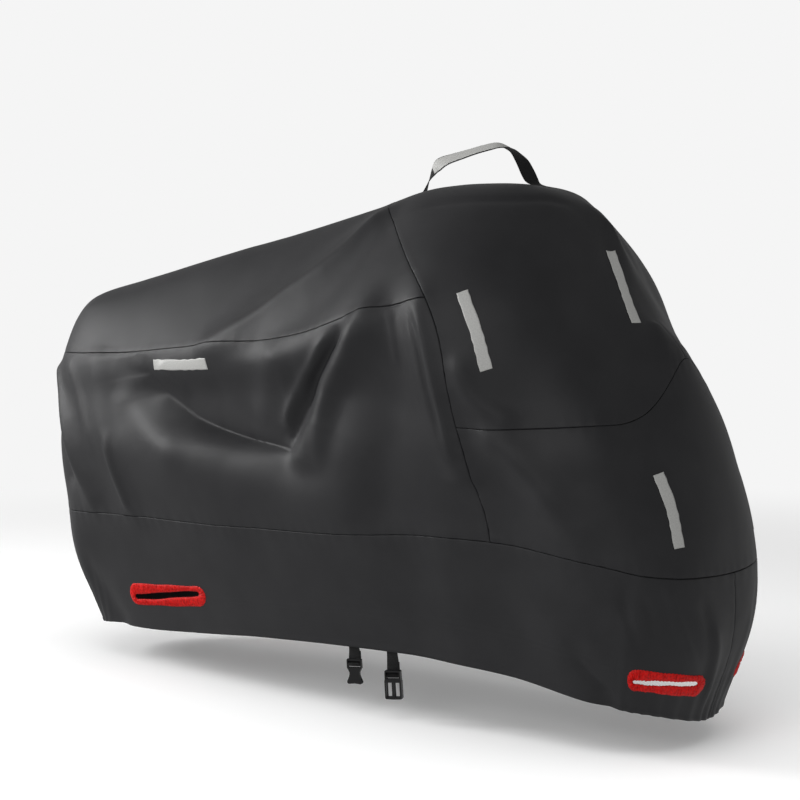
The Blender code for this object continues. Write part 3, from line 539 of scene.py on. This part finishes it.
def bump(tree, shader, height, distance, strength, under=None):
    """Bump from this height, over the bump under it if there is one."""
    links = {"Height": height} | ({"Normal": under.outputs[0]} if under else {})
    node = add(tree, "Bump", {"Distance": distance, "Strength": strength}, links)
    tree.links.new(node.outputs[0], shader.inputs["Normal"])
    return node


def grain(tree, size, detail=2.0, uv=False):
    """Fine noise of this size in metres, from 0 to 1."""
    if uv:
        place = add(tree, "UVMap", {"uv_map": "cut"}).outputs[0]
    else:
        place = add(tree, "TexCoord").outputs["Object"]
    spots = {"Scale": 1 / size, "Detail": detail}
    return add(tree, "TexNoise", spots, {"Vector": place}).outputs[0]


def blend_colours(tree, shader, share, dark, light, low=0.35, high=0.65):
    """From dark where the share is low to light where it is high."""
    ramp = add(tree, "ValToRGB", links={0: share})
    for point, spot, colour in zip(ramp.color_ramp.elements, (low, high), (dark, light)):
        point.position = spot
        point.color = linear(colour)
    tree.links.new(ramp.outputs[0], shader.inputs["Base Color"])


def coated_polyester():
    """Black polyester plain weave with a rolled-on coating: half matt, with a soft broad
    shine on its folds. Real threads are 0.4 mm; they are drawn at 1.4 mm so that they show."""
    made, tree, shader = finish(
        "coated_polyester", "#2a2a2b", 0.50,
        Specular_IOR_Level=0.30, Sheen_Weight=0.02, Sheen_Roughness=0.5,
    )
    blend_colours(tree, shader, grain(tree, 0.09, 3), "#28282a", "#2c2c2e")
    crumple = bump(tree, shader, grain(tree, 0.022, 3), 0.0012, 0.10)
    bump(tree, shader, threads(tree, 0.0014), 0.00025, 0.30, crumple)
    return made


def reflective_fabric():
    """Silver grey tape of glass beads on cloth: pale, even and half matt, with a fine
    pressed grain of 2 mm."""
    made, tree, shader = finish("glass_bead_tape", "#c6c6c3", 0.45)
    blend_colours(tree, shader, grain(tree, 0.003, 2, uv=True), "#c0c0bd", "#cdcdca")
    bump(tree, shader, threads(tree, 0.0020), 0.0003, 0.35)
    return made


def gathered_polyester():
    """Red polyester binding, woven and gathered: half matt, with darker spots of 5 mm and
    crimps of 3.5 mm. Its threads are drawn at 1.2 mm so that they show."""
    made, tree, shader = finish("red_polyester_binding", "#e0100c", 0.55, Specular_IOR_Level=0.3)
    blend_colours(tree, shader, grain(tree, 0.005, 2), "#b80806", "#f0140f", 0.3, 0.6)
    crimp = bump(tree, shader, grain(tree, 0.0035, 2, uv=True), 0.0012, 0.6)
    bump(tree, shader, threads(tree, 0.0012), 0.0003, 0.4, crimp)
    return made


def woven_webbing():
    """Black polypropylene webbing: coarse cords across it at 1.8 mm, half matt."""
    made, tree, shader = finish("polypropylene_webbing", "#0e0e0f", 0.55, Specular_IOR_Level=0.3)
    blend_colours(tree, shader, grain(tree, 0.004, 2, uv=True), "#0b0b0c", "#121213")
    bump(tree, shader, threads(tree, 0.0018), 0.0008, 0.6)
    return made


def moulded_acetal():
    """Black injection-moulded acetal: glossy, with the faint waviness of the mould."""
    made, tree, shader = finish("moulded_acetal", "#101012", 0.20, IOR=1.48)
    bump(tree, shader, grain(tree, 0.004, 2), 0.0002, 0.12)
    return made


# ---- Making pieces ----
def lines(length, spacing, sewn=(False, False)):
    """Shares of an edge at an even spacing, with closer ones beside sewn ends.

    A sewn end starts past its seam, so that the lips of two panels cross below it.
    """
    fine = np.array(SEAM_LINES)
    low = fine if sewn[0] else np.zeros(1)
    high = length - (fine[::-1] if sewn[1] else np.zeros(1))
    middle = np.linspace(low[-1], high[0], max(round((high[0] - low[-1]) / spacing), 1) + 1)
    return np.concatenate((low, middle[1:-1], high)) / length


def flat_grid(name, columns, rows):
    """A flat grid's mesh, and the share along and across it of each of its vertices."""
    mesh = bmesh.new()
    bmesh.ops.create_grid(mesh, x_segments=columns, y_segments=rows, size=0.5)
    data = bpy.data.meshes.new(name)
    mesh.to_mesh(data)
    mesh.free()
    flat = np.empty(len(data.vertices) * 3, np.float32)
    data.vertices.foreach_get("co", flat)
    flat = flat.astype(float) + 0.5
    return data, flat[0::3], flat[1::3]


def bend(data, points, layout):
    """The grid with its vertices at these points, and as a UV map where each of them lies in
    the flat cut, in metres."""
    data.vertices.foreach_set("co", points.ravel())
    corners = np.empty(len(data.loops), np.int32)
    data.loops.foreach_get("vertex_index", corners)
    data.uv_layers.new(name="cut").data.foreach_set("uv", layout[corners].ravel())
    mesh = bmesh.new()
    mesh.from_mesh(data)
    bpy.data.meshes.remove(data)
    return mesh


def run_across(points):
    """How far each point lies along its row of the grid."""
    return np.linalg.norm(np.diff(points, axis=1, prepend=points[:, :1]), axis=2).cumsum(axis=1)


def run_down(points):
    """How far each point lies along its column of the grid."""
    return np.linalg.norm(np.diff(points, axis=0, prepend=points[:1]), axis=2).cumsum(axis=0)


def sheet_piece(name, a_lines, b_lines, place, material, thick):
    """A flat grid bent to shape and given its thickness on the inner side.

    place(a, b) gives the points of the grid's vertices, the way out at each, and which of
    them are off, or None. Faces whose corners are all off are left out, and edges that meet
    are joined.
    """
    columns, rows = len(a_lines) - 1, len(b_lines) - 1
    data, along, across = flat_grid(name, columns, rows)
    column, row = np.rint(along * columns).astype(int), np.rint(across * rows).astype(int)
    b, a = np.meshgrid(b_lines, a_lines, indexing="ij")
    points, way, off = place(a, b)
    layout = np.stack((run_across(points), run_down(points)), axis=2)
    mesh = bend(data, points[row, column], layout[row, column])
    mesh.faces.ensure_lookup_table()
    if off is not None:
        gone = off[row, column]
        cut_out = [face for face in mesh.faces if all(gone[vert.index] for vert in face.verts)]
        bmesh.ops.delete(mesh, geom=cut_out, context="FACES")
    mesh.normal_update()
    ways = way[row, column]
    # Every 37th face is enough to tell which way they look.
    some = list(mesh.faces)[::37]
    facing = sum(face.normal.dot(Vector(ways[face.verts[0].index])) for face in some)
    if facing < 0:
        bmesh.ops.reverse_faces(mesh, faces=mesh.faces)
    bmesh.ops.remove_doubles(mesh, verts=mesh.verts, dist=JOINED)
    return piece_of(mesh, name, material, thick)


def piece_of(mesh, name, material, thick=0.0, sharp=60):
    """An object at the origin with its place in its mesh."""
    data = bpy.data.meshes.new(name)
    mesh.to_mesh(data)
    mesh.free()
    data.shade_smooth()
    data.set_sharp_from_angle(angle=math.radians(sharp))
    data.materials.append(material)
    made = bpy.data.objects.new(name, data)
    bpy.context.scene.collection.objects.link(made)
    if thick:
        wall = made.modifiers.new("thickness", "SOLIDIFY")
        wall.thickness = thick
        wall.offset = -1
    return made


# ---- Panels ----
# Each of these gives sections and levels from shares along and down a panel.
def rear_top(a, b):
    v = -UPPER + SEAM_GAP_V + b * 2 * (UPPER - SEAM_GAP_V)
    return a * (upright_seam(v) - SEAM_GAP_S), v


def rear_side(a, b):
    v = UPPER + SEAM_GAP_V + b * (SKIRT - UPPER - 2 * SEAM_GAP_V)
    return SEAM_GAP_S + a * (upright_seam(v) - 2 * SEAM_GAP_S), v


def front_upper(a, b):
    v = (2 * b - 1) * (WAIST - SEAM_GAP_V)
    start = upright_seam(v) + SEAM_GAP_S
    return start + a * (NOSE - start), v


def front_lower(a, b):
    v = WAIST + SEAM_GAP_V + b * (SKIRT - WAIST - 2 * SEAM_GAP_V)
    start = upright_seam(v) + SEAM_GAP_S
    return NOSE + (2 * a - 1) * (NOSE - start), v


def skirt(a, b):
    v = SKIRT + SEAM_GAP_V + b * (HEM - SKIRT - SEAM_GAP_V)
    return SEAM_GAP_S + a * (NOSE - 2 * SEAM_GAP_S), v


def on_the_left(where):
    """The same panel on the left side."""
    def mirrored(a, b):
        s, v = where(a, b)
        return 2 * NOSE - s, v
    return mirrored


# Each panel: where it lies, its rough length and height for the grid, which of its edges
# are sewn (back, ahead, above, below), whether it has the hem, and its flat size and area.
PANEL_COLUMNS = ("where", "length", "height", "sewn", "hem", "flat", "area")
PANELS = {
    "rear_top_panel": (rear_top, 1.22, 1.06, (0, 1, 1, 1), False, (1.05, 1.25), 1.0),
    "rear_side_panel_right": (rear_side, 1.40, 0.56, (1, 1, 1, 1), False, (0.60, 1.50), 0.75),
    "rear_side_panel_left": (on_the_left(rear_side), 1.40, 0.56, (1, 1, 1, 1), False, (0.60, 1.50), 0.75),
    "front_upper_panel": (front_upper, 0.84, 1.36, (1, 0, 1, 1), False, (1.30, 0.95), 0.9),
    "front_lower_panel": (front_lower, 1.30, 0.36, (1, 1, 1, 1), False, (0.42, 1.30), 0.45),
    "skirt_right": (skirt, 2.10, 0.31, (1, 1, 1, 0), True, (0.36, 2.25), 0.66),
    "skirt_left": (on_the_left(skirt), 2.10, 0.31, (1, 1, 1, 0), True, (0.36, 2.25), 0.66),
}


def beside_seam(gap, run):
    """The depth of a sewn edge's turn, and what stands out beside it."""
    turned = SEAM_DEPTH * np.clip(1 - gap / SEAM_LINES[1], 0, 1)
    turned += SEAM_DIP * np.clip(1 - gap / SEAM_TURN, 0, 1) ** 2
    pulled = np.sin(run / PUCKER_PITCH + 2 * np.sin(run / PUCKER_DRIFT))
    pulled *= np.exp(-gap / PUCKER_REACH)
    roll = SEAM_ROLL * np.exp(-(((gap - ROLL_OFF) / ROLL_WIDTH) ** 2))
    return turned, roll + PUCKER * pulled * (gap < PUCKER_END)


def panel_place(where, sewn, hem, holes):
    """Where a panel's vertices lie, with its sewn edges turned in."""
    def place(a, b):
        shape = a.shape
        s, v = where(a.ravel(), b.ravel())
        gone = np.zeros(len(s), bool)
        for hole in holes:
            s, v, inside = snapped(s, v, hole)
            gone |= inside
        points, way = cloth(s, v)
        points, way = points.reshape(*shape, 3), way.reshape(*shape, 3)
        across, down = run_across(points), run_down(points)
        gaps = (across, across[:, -1:] - across, down, down[-1:] - down)
        runs = (down, down, across, across)
        depth, proud = np.zeros(shape), np.zeros(shape)
        for gap, run, is_sewn in zip(gaps, runs, sewn):
            if is_sewn:
                turned, roll = beside_seam(gap, run)
                depth = np.maximum(depth, turned)
                proud += roll
        if hem:
            edge = gaps[3]
            proud += HEM_SWELL * (1 - ease(edge / HEM_WIDTH))
            proud -= HEM_SWELL * np.exp(-(((edge - HEM_WIDTH) / HEM_GROOVE) ** 2))
        return points + way * (proud - depth)[..., None], way, gone.reshape(shape)
    return place


def make_panels(fabric):
    """The seven panels by name, each with its flat size and area."""
    made = {}
    for node, (where, length, height, sewn, hem, flat, area) in PANELS.items():
        holes = []
        if hem:
            side = node.split("_")[1]
            found = [hole for name, hole in LOCK_HOLES.items() if name.endswith(side)]
            holes = [(*hole, side == "left") for hole in found]
        a_lines, b_lines = lines(length, GRID, sewn[:2]), lines(height, GRID, sewn[2:])
        name = node.replace("panel", "cloth").replace("skirt", "skirt_cloth")
        place = panel_place(where, sewn, hem, holes)
        piece = sheet_piece(name, a_lines, b_lines, place, fabric, SHEET)
        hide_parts(node)
        made[name] = (piece, flat, area)
    return made


# ---- Lock holes ----
def hole_scale(hole):
    """Metres along for each section and down for each level, at a lock hole."""
    s, v, step = hole[0], hole[1], 0.05
    along = np.linalg.norm(np.diff(form(np.array((s - step, s + step)), np.array((v, v))), axis=0))
    up = np.linalg.norm(np.diff(form(np.array((s, s)), np.array((v - step, v + step))), axis=0))
    return along / (2 * step), up / (2 * step)


def snapped(s, v, hole):
    """Section and level, those inside the hole moved out to the middle of its binding."""
    s0, v0, rise, length, height, left = hole
    along, up = hole_scale(hole)
    right = 2 * NOSE - s if left else s
    x = (right - s0) * along
    y = (v0 - v) * up - rise * x
    radius = (height - BINDING_BAND) / 2
    run = length / 2 - BINDING_BAND / 2 - radius
    core = np.clip(x, -run, run)
    reach = np.hypot(x - core, y)
    inside = reach < radius
    grow = np.where(inside, radius / np.maximum(reach, 1e-6), 1)
    x, y = core + (x - core) * grow, y * grow
    new_s = s0 + x / along
    new_v = v0 - (y + rise * x) / up
    new_s = 2 * NOSE - new_s if left else new_s
    return np.where(inside, new_s, s), np.where(inside, new_v, v), inside


def stadium(part, half_length, radius):
    """Points round a slot with round ends, and the way out at each, for parts from 0 to 1.

    Each part runs at an even speed.
    """
    straight, end = 2 * (half_length - radius), np.pi * radius
    at = part % 1 * 2 * (straight + end)
    far = np.where(at >= straight + end, -1.0, 1.0)
    at = at % (straight + end)
    turn = np.pi / 2 - np.clip(at - straight, 0, None) / radius
    run = np.clip(at, 0, straight) - straight / 2
    way = far[:, None] * np.stack((np.cos(turn), np.sin(turn)), axis=1)
    return way * radius + (far * run)[:, None] * (1, 0), way


def on_skirt(flat, hole, lift, left):
    """A flat layout, in metres along and up, laid on the skirt round a lock hole."""
    s, v, rise = hole[:3]
    along, up = hole_scale(hole)
    s_at = s + flat[:, 0] / along
    v_at = v - (flat[:, 1] + rise * flat[:, 0]) / up
    return cloth(2 * NOSE - s_at if left else s_at, v_at, lift)[0]


def binding_piece(name, hole, left, red):
    """A gathered band, rolled over the cut edge and closed round the slit."""
    band = BINDING_BAND / 2
    size = (hole[3] / 2 - band, hole[4] / 2 - band)
    round_slit = 4 * (size[0] - size[1]) + 2 * np.pi * size[1]
    data, part, round_band = flat_grid(name, round(round_slit / BINDING_SPACING), BINDING_AROUND)
    turn = round_band * 2 * np.pi
    points, way = stadium(part, *size)
    at = part * 2 * np.pi
    count = round(round_slit / PLEAT_PITCH)
    # The pleats are uneven: their spacing drifts, and each leans a little.
    pleat = at * count + 1.5 * np.sin(3 * at + 1) + 1.1 * np.sin(7 * at) + 0.9 * np.sin(turn)
    crimp = np.abs(np.sin(pleat / 2)) - 0.5
    uneven = 1 + 0.10 * np.sin(2 * at + 0.6) + 0.07 * np.sin(5 * at)
    reach = band * uneven + RUFFLE * np.sin(2.3 * pleat + 1) + PLEAT_HEIGHT * 0.5 * np.sin(pleat + 1)
    ruffle = RUFFLE * (np.sin(2.3 * pleat) + 0.6 * np.sin(3.7 * pleat + 3 * np.cos(turn)))
    rise = np.sin(turn) * (BINDING_THICK / 2 + PLEAT_HEIGHT * crimp + ruffle)
    laid = points + way * (np.cos(turn) * reach)[:, None]
    # The slit leans and its ends draw together, while the outer edge lies level.
    inner = (1 - np.cos(turn)) / 2
    ends = np.clip(np.abs(laid[:, 0]) / size[0], 0, 1) ** 3
    laid[:, 1] += inner * (SLIT_LEAN * laid[:, 0] - SLIT_PINCH * ends * np.sign(points[:, 1]))
    layout = np.stack((part * round_slit, round_band * 2 * BINDING_BAND), axis=1)
    mesh = bend(data, on_skirt(laid, hole, rise - SHEET / 2, left), layout)
    bmesh.ops.remove_doubles(mesh, verts=mesh.verts, dist=CLOSED)
    bmesh.ops.recalc_face_normals(mesh, faces=mesh.faces)
    return piece_of(mesh, name, red), round_slit


def make_bindings(red):
    """The lock holes' bindings, sewn to the skirt's cloth."""
    for name, hole in LOCK_HOLES.items():
        side = name.split("_")[1]
        piece, long = binding_piece(f"binding_{name}", hole, side == "left", red)
        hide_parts(f"lock_hole_binding_{name}")
        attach(piece, "root")


# ---- Reflective tapes ----
def tape_place(knots, left):
    """Where a tape's vertices lie, on the cloth along its knots."""
    def place(a, b):
        along, across_tape = a.ravel(), b.ravel() - 0.5
        at = along * (len(knots) - 1)
        s, v = along_rows(np.array(knots, float), at).T
        ahead_s, ahead_v = along_rows(np.array(knots, float), at + 0.02).T
        normal = outward(s, v)
        ahead = form(ahead_s, ahead_v) - form(s, v)
        across = np.cross(normal, ahead)
        across /= np.linalg.norm(across, axis=1, keepdims=True)
        # Each edge wanders unevenly, the two of them apart.
        wander = TAPE_WAVE * 2 * np.abs(across_tape)
        wander *= np.sin(along * 31 + 2 * np.sin(along * 9) + 3 * b.ravel())
        wide = across_tape * TAPE_WIDTH + wander
        s_step, v_step = steps_across(s, v, across)
        s_at, v_at = s + s_step * wide, v + v_step * wide
        if left:
            s_at = 2 * NOSE - s_at
        points, way = cloth(s_at, v_at, TAPE_LIFT + TAPE_THICK)
        return points.reshape(*a.shape, 3), way.reshape(*a.shape, 3), None
    return place


def steps_across(s, v, across):
    """Sections and levels for each metre across the tape, from the form's own slopes."""
    step = 0.01
    by_s = (form(s + step, v) - form(s - step, v)) / (2 * step)
    by_v = (form(s, v + step) - form(s, v - step)) / (2 * step)
    ss, vv, sv = ((p * q).sum(axis=1) for p, q in ((by_s, by_s), (by_v, by_v), (by_s, by_v)))
    sa, va = (by_s * across).sum(axis=1), (by_v * across).sum(axis=1)
    whole = ss * vv - sv * sv
    return (sa * vv - va * sv) / whole, (va * ss - sa * sv) / whole


def make_tapes(tape):
    """The reflective tapes, sewn on the cloth."""
    for name, (both_sides, flat_length, under, knots) in TAPES.items():
        for side in ("_right", "_left") if both_sides else ("",):
            a_lines, b_lines = lines(TAPE_LONG, TAPE_GRID), lines(TAPE_WIDTH, TAPE_GRID)
            place = tape_place(knots, side == "_left")
            piece = sheet_piece(f"tape_{name}{side}", a_lines, b_lines, place, tape, TAPE_THICK)
            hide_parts(f"reflective_tape_{name}{side}")
            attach(piece, "root")


# ---- Webbing ----
def band_piece(
    name, path, level, roll, width, thick, material, offset=0.0, ends=(0, None), spacing=0.0025
):
    """A woven band along a path, with rounded edges, and its length. It is as wide as level
    says where roll is 0, and its outer face is offset from the path along its own normal."""
    first, last = ends[0], len(path) - 1 if ends[1] is None else ends[1]
    level = np.array(level, float)
    trace = along_rows(path, np.linspace(first, last, TRACED))
    long = np.linalg.norm(np.diff(trace, axis=0), axis=1).sum()
    data, along, around = flat_grid(name, round(long / spacing), BAND_AROUND)
    turn = around * 2 * np.pi
    at = first + along * (last - first)
    spot = along_rows(path, at)
    ahead = along_rows(path, np.minimum(at + BAND_NEAR, len(path) - 1))
    ahead = ahead - along_rows(path, np.maximum(at - BAND_NEAR, 0))
    ahead /= np.linalg.norm(ahead, axis=1, keepdims=True)
    rise = np.cross(ahead, level)
    rise /= np.linalg.norm(rise, axis=1, keepdims=True)
    turned = np.radians(along_rows(roll, at))[:, None]
    wide = level * np.cos(turned) + rise * np.sin(turned)
    normal = np.cross(ahead, wide)
    # The section is a flat band whose edges are round.
    x = np.sign(np.cos(turn)) * np.abs(np.cos(turn)) ** BAND_EDGE * width / 2
    y = np.sign(np.sin(turn)) * np.abs(np.sin(turn)) ** BAND_EDGE * thick / 2
    points = spot + wide * x[:, None] + normal * (offset - thick / 2 + y)[:, None]
    mesh = bend(data, points, np.stack((along * long, x), axis=1))
    bmesh.ops.remove_doubles(mesh, verts=mesh.verts, dist=CLOSED)
    bmesh.ops.holes_fill(mesh, edges=mesh.edges, sides=0)
    bmesh.ops.recalc_face_normals(mesh, faces=mesh.faces)
    return piece_of(mesh, name, material), long


def top_height(x):
    """The cloth's height along the middle of the top."""
    s = np.linspace(0.5, NOSE, 200)
    ridge = draped(s, np.zeros(len(s)))
    return np.interp(x, ridge[:, 0], ridge[:, 2])


def make_handle(webbing, tape):
    """The handle, and the reflective tape on its outer face."""
    x, above, roll = HANDLE.T
    path = np.stack((x, 0 * x, top_height(x) + above), axis=1)
    half = WEBBING_THICK / 2
    strap, long = band_piece(
        "handle_webbing", path, (0, 1, 0), roll, HANDLE_WIDTH, WEBBING_THICK, webbing, half
    )
    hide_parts("handle")
    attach(strap, "root")
    offset = half + PIECE_GAP + TAPE_THICK
    face, face_long = band_piece(
        "handle_reflective", path, (0, 1, 0), roll, HANDLE_TAPE_WIDTH, TAPE_THICK, tape, offset,
        HANDLE_TAPE_ROWS,
    )
    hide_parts("handle_tape")
    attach(face, "root")


def make_straps(webbing):
    """The buckle halves' straps, which hang from inside the hem and loop round the bars."""
    half = WEBBING_THICK / 2
    for kind, (s, drop, twist, lean) in STRAPS.items():
        hem, inside = draped((s, s), (HEM, HEM - SLOPE_LEVELS), -CAD_CLOTH - PIECE_GAP - half)
        top = Vector(hem) - Vector((0, 0, drop))
        leaning = Matrix.Translation(top) @ Matrix.Rotation(math.radians(-lean), 4, "Y")
        slope = (inside[1] - hem[1]) / (inside[2] - hem[2])
        path = [(0, slope * h + STRAP_LIFT, drop + h) for h in (STRAP_END, STRAP_END / 2, STRAP_LEAVES)]
        path.append((0, -STRAP_LOOP[0, 0] * STRAP_EASE[0], drop * STRAP_EASE[1]))
        path = np.array(path + [(0, -out, up) for out, up in STRAP_LOOP], float)
        flat = np.zeros(len(path))
        piece, long = band_piece(
            f"strap_{kind}", path, (1, 0, 0), flat, WEBBING_WIDTH, WEBBING_THICK, webbing, half,
            spacing=STRAP_GRID,
        )
        for vert in piece.data.vertices:
            turn = math.radians(twist) * ease(1 - vert.co.z / drop)
            vert.co = leaning @ Matrix.Rotation(turn, 4, "Z") @ vert.co
        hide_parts(f"buckle_strap_{kind}")
        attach(piece, "root")


# ---- Studio ----
ROOM = 14.0                 # radius of the paper backdrop, which curves up from the floor
ROOM_BEND = 4.0             # radius of its curve
ROOM_WALL = 10.0            # height of its wall
ROOM_STEPS, ROOM_TURNS = 13, 64         # points of its curve, and faces all round
PAPER_GLOW = 0.19           # of the paper near the object, so its shadow isn't black
PLAIN_FROM, PLAIN_TO = 2.2, 5.0         # out from the middle, the paper glows evenly
MIDDLE = (-0.3, 0.0, -0.5)  # what the lights face
SKY_BELOW, SKY_ABOVE = 0.46, 0.22       # how brightly the sky shines, low and high
SKY_FROM, SKY_TO = -0.3, 0.9            # and where it changes; 1 is straight up
LIGHT_COLUMNS = ("way_to_it", "distance", "width_and_height", "watts")
LIGHTS = {
    "key_left": ((-0.80, -0.40, 0.33), 4.5, (1.6, 1.6), 118),
    "fill_front": ((0.10, -0.95, 0.30), 5.0, (3.0, 2.0), 44),
    "floor_light": ((0.24, -0.25, 1.00), 4.2, (5.0, 5.0), 156),
}
CAMERA_PLACE = (2.196, -3.190, -0.2527)
CAMERA_DOWN, CAMERA_HEADING = 3.51, 126.96      # degrees below level, and from +X to +Y
CAMERA_LENS, CAMERA_SENSOR = 74.71, 36


def area_light(name, way, aim, far, size, watts):
    """A soft box that faces the point it is aimed at, from this way and distance."""
    lamp = bpy.data.lights.new(name, "AREA")
    lamp.shape = "RECTANGLE"
    lamp.size, lamp.size_y = size
    lamp.energy = watts
    made = bpy.data.objects.new(name, lamp)
    way = Vector(way).normalized()
    made.location = Vector(aim) + way * far
    made.rotation_euler = way.to_track_quat("Z", "Y").to_euler()
    bpy.context.scene.collection.objects.link(made)
    return made


def studio_paper():
    """Pale matt paper. Far from the object it glows as brightly as it is lit near it."""
    made, tree, shader = finish(
        "studio_paper", "#f2f2f2", 0.95,
        Specular_IOR_Level=0.0, Emission_Color=linear("#ffffff"), Emission_Strength=PAPER_GLOW,
    )
    glow = add(tree, "Emission", {"Color": linear("#f5f5f5"), "Strength": 1.0})
    place = add(tree, "TexCoord").outputs["Object"]
    far = add(tree, "VectorMath", {"operation": "LENGTH"}, {0: place}).outputs["Value"]
    share = add(
        tree, "MapRange",
        {"interpolation_type": "SMOOTHSTEP", "From Min": PLAIN_FROM, "From Max": PLAIN_TO},
        {"Value": far},
    )
    mixed = {0: share.outputs[0], 1: shader.outputs[0], 2: glow.outputs[0]}
    both = add(tree, "MixShader", links=mixed)
    tree.links.new(both.outputs[0], tree.nodes["Material Output"].inputs["Surface"])
    return made


def make_backdrop():
    """A round floor of paper that curves up into a wall all round."""
    mesh = bmesh.new()
    turns = np.linspace(0, math.pi / 2, ROOM_STEPS)
    flat = ROOM - ROOM_BEND
    curve = [(flat + ROOM_BEND * math.sin(t), ROOM_BEND * (1 - math.cos(t))) for t in turns]
    profile = [(0.02, 0.0)] + curve + [(ROOM, ROOM_WALL)]
    verts = [mesh.verts.new((x, 0, z - TOP_HEIGHT)) for x, z in profile]
    edges = [mesh.edges.new(pair) for pair in zip(verts, verts[1:])]
    whole_turn = {"axis": (0, 0, 1), "cent": (0, 0, 0), "angle": 2 * math.pi}
    bmesh.ops.spin(mesh, geom=verts + edges, steps=ROOM_TURNS, use_merge=True, **whole_turn)
    # The spin leaves a small hole in the middle of the floor.
    middle = [edge for edge in mesh.edges if max(vert.co.length for vert in edge.verts) < 2]
    bmesh.ops.holes_fill(mesh, edges=middle, sides=0)
    bmesh.ops.recalc_face_normals(mesh, faces=mesh.faces)
    backdrop = piece_of(mesh, "studio_backdrop", studio_paper())
    backdrop.visible_glossy = False
    backdrop.visible_diffuse = False
    backdrop.visible_shadow = False
    return backdrop


def make_sky():
    """Even white light from all round, weaker from above."""
    world = bpy.data.worlds.new("studio")
    world.use_nodes = True
    sky = world.node_tree
    place = add(sky, "TexCoord").outputs["Generated"]
    height = add(sky, "SeparateXYZ", links={0: place}).outputs[2]
    light = add(
        sky, "MapRange",
        {"From Min": SKY_FROM, "From Max": SKY_TO, "To Min": SKY_BELOW, "To Max": SKY_ABOVE},
        {"Value": height},
    )
    sky.nodes["Background"].inputs["Color"].default_value = linear("#ffffff")
    sky.links.new(light.outputs[0], sky.nodes["Background"].inputs["Strength"])
    bpy.context.scene.world = world


def make_camera():
    """The camera that the cover is first seen by."""
    eye = bpy.data.cameras.new("camera")
    eye.sensor_width = CAMERA_SENSOR
    eye.lens = CAMERA_LENS
    seat = bpy.data.objects.new("camera", eye)
    seat.location = CAMERA_PLACE
    seat.rotation_euler = (math.radians(90 - CAMERA_DOWN), 0, math.radians(CAMERA_HEADING - 90))
    bpy.context.scene.collection.objects.link(seat)
    bpy.context.scene.camera = seat


def make_studio():
    """Pale paper and a sky, a soft box past the tail, a weaker one out to the right, a light
    overhead for the paper, and the camera."""
    backdrop = make_backdrop()
    make_sky()
    lights = {name: area_light(name, way, MIDDLE, *rest) for name, (way, *rest) in LIGHTS.items()}
    # The overhead light is for the paper alone, so the cloth's top stays as dark as its sides.
    paper_only = bpy.data.collections.new("paper_only")
    paper_only.objects.link(backdrop)
    lights["floor_light"].light_linking.receiver_collection = paper_only
    make_camera()
    bpy.context.scene.view_settings.view_transform = "Standard"


# ---- Everything ----
fabric, tape = coated_polyester(), reflective_fabric()
webbing, acetal, red = woven_webbing(), moulded_acetal(), gathered_polyester()
panels = make_panels(fabric)
make_tapes(tape)
make_bindings(red)
make_handle(webbing, tape)
make_straps(webbing)
for node in ("buckle_male", "buckle_female"):
    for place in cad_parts[node].material_slots:
        place.link = "OBJECT"
        place.material = acetal
for name, (piece, flat, area) in panels.items():
    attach(piece, "root")
make_studio()
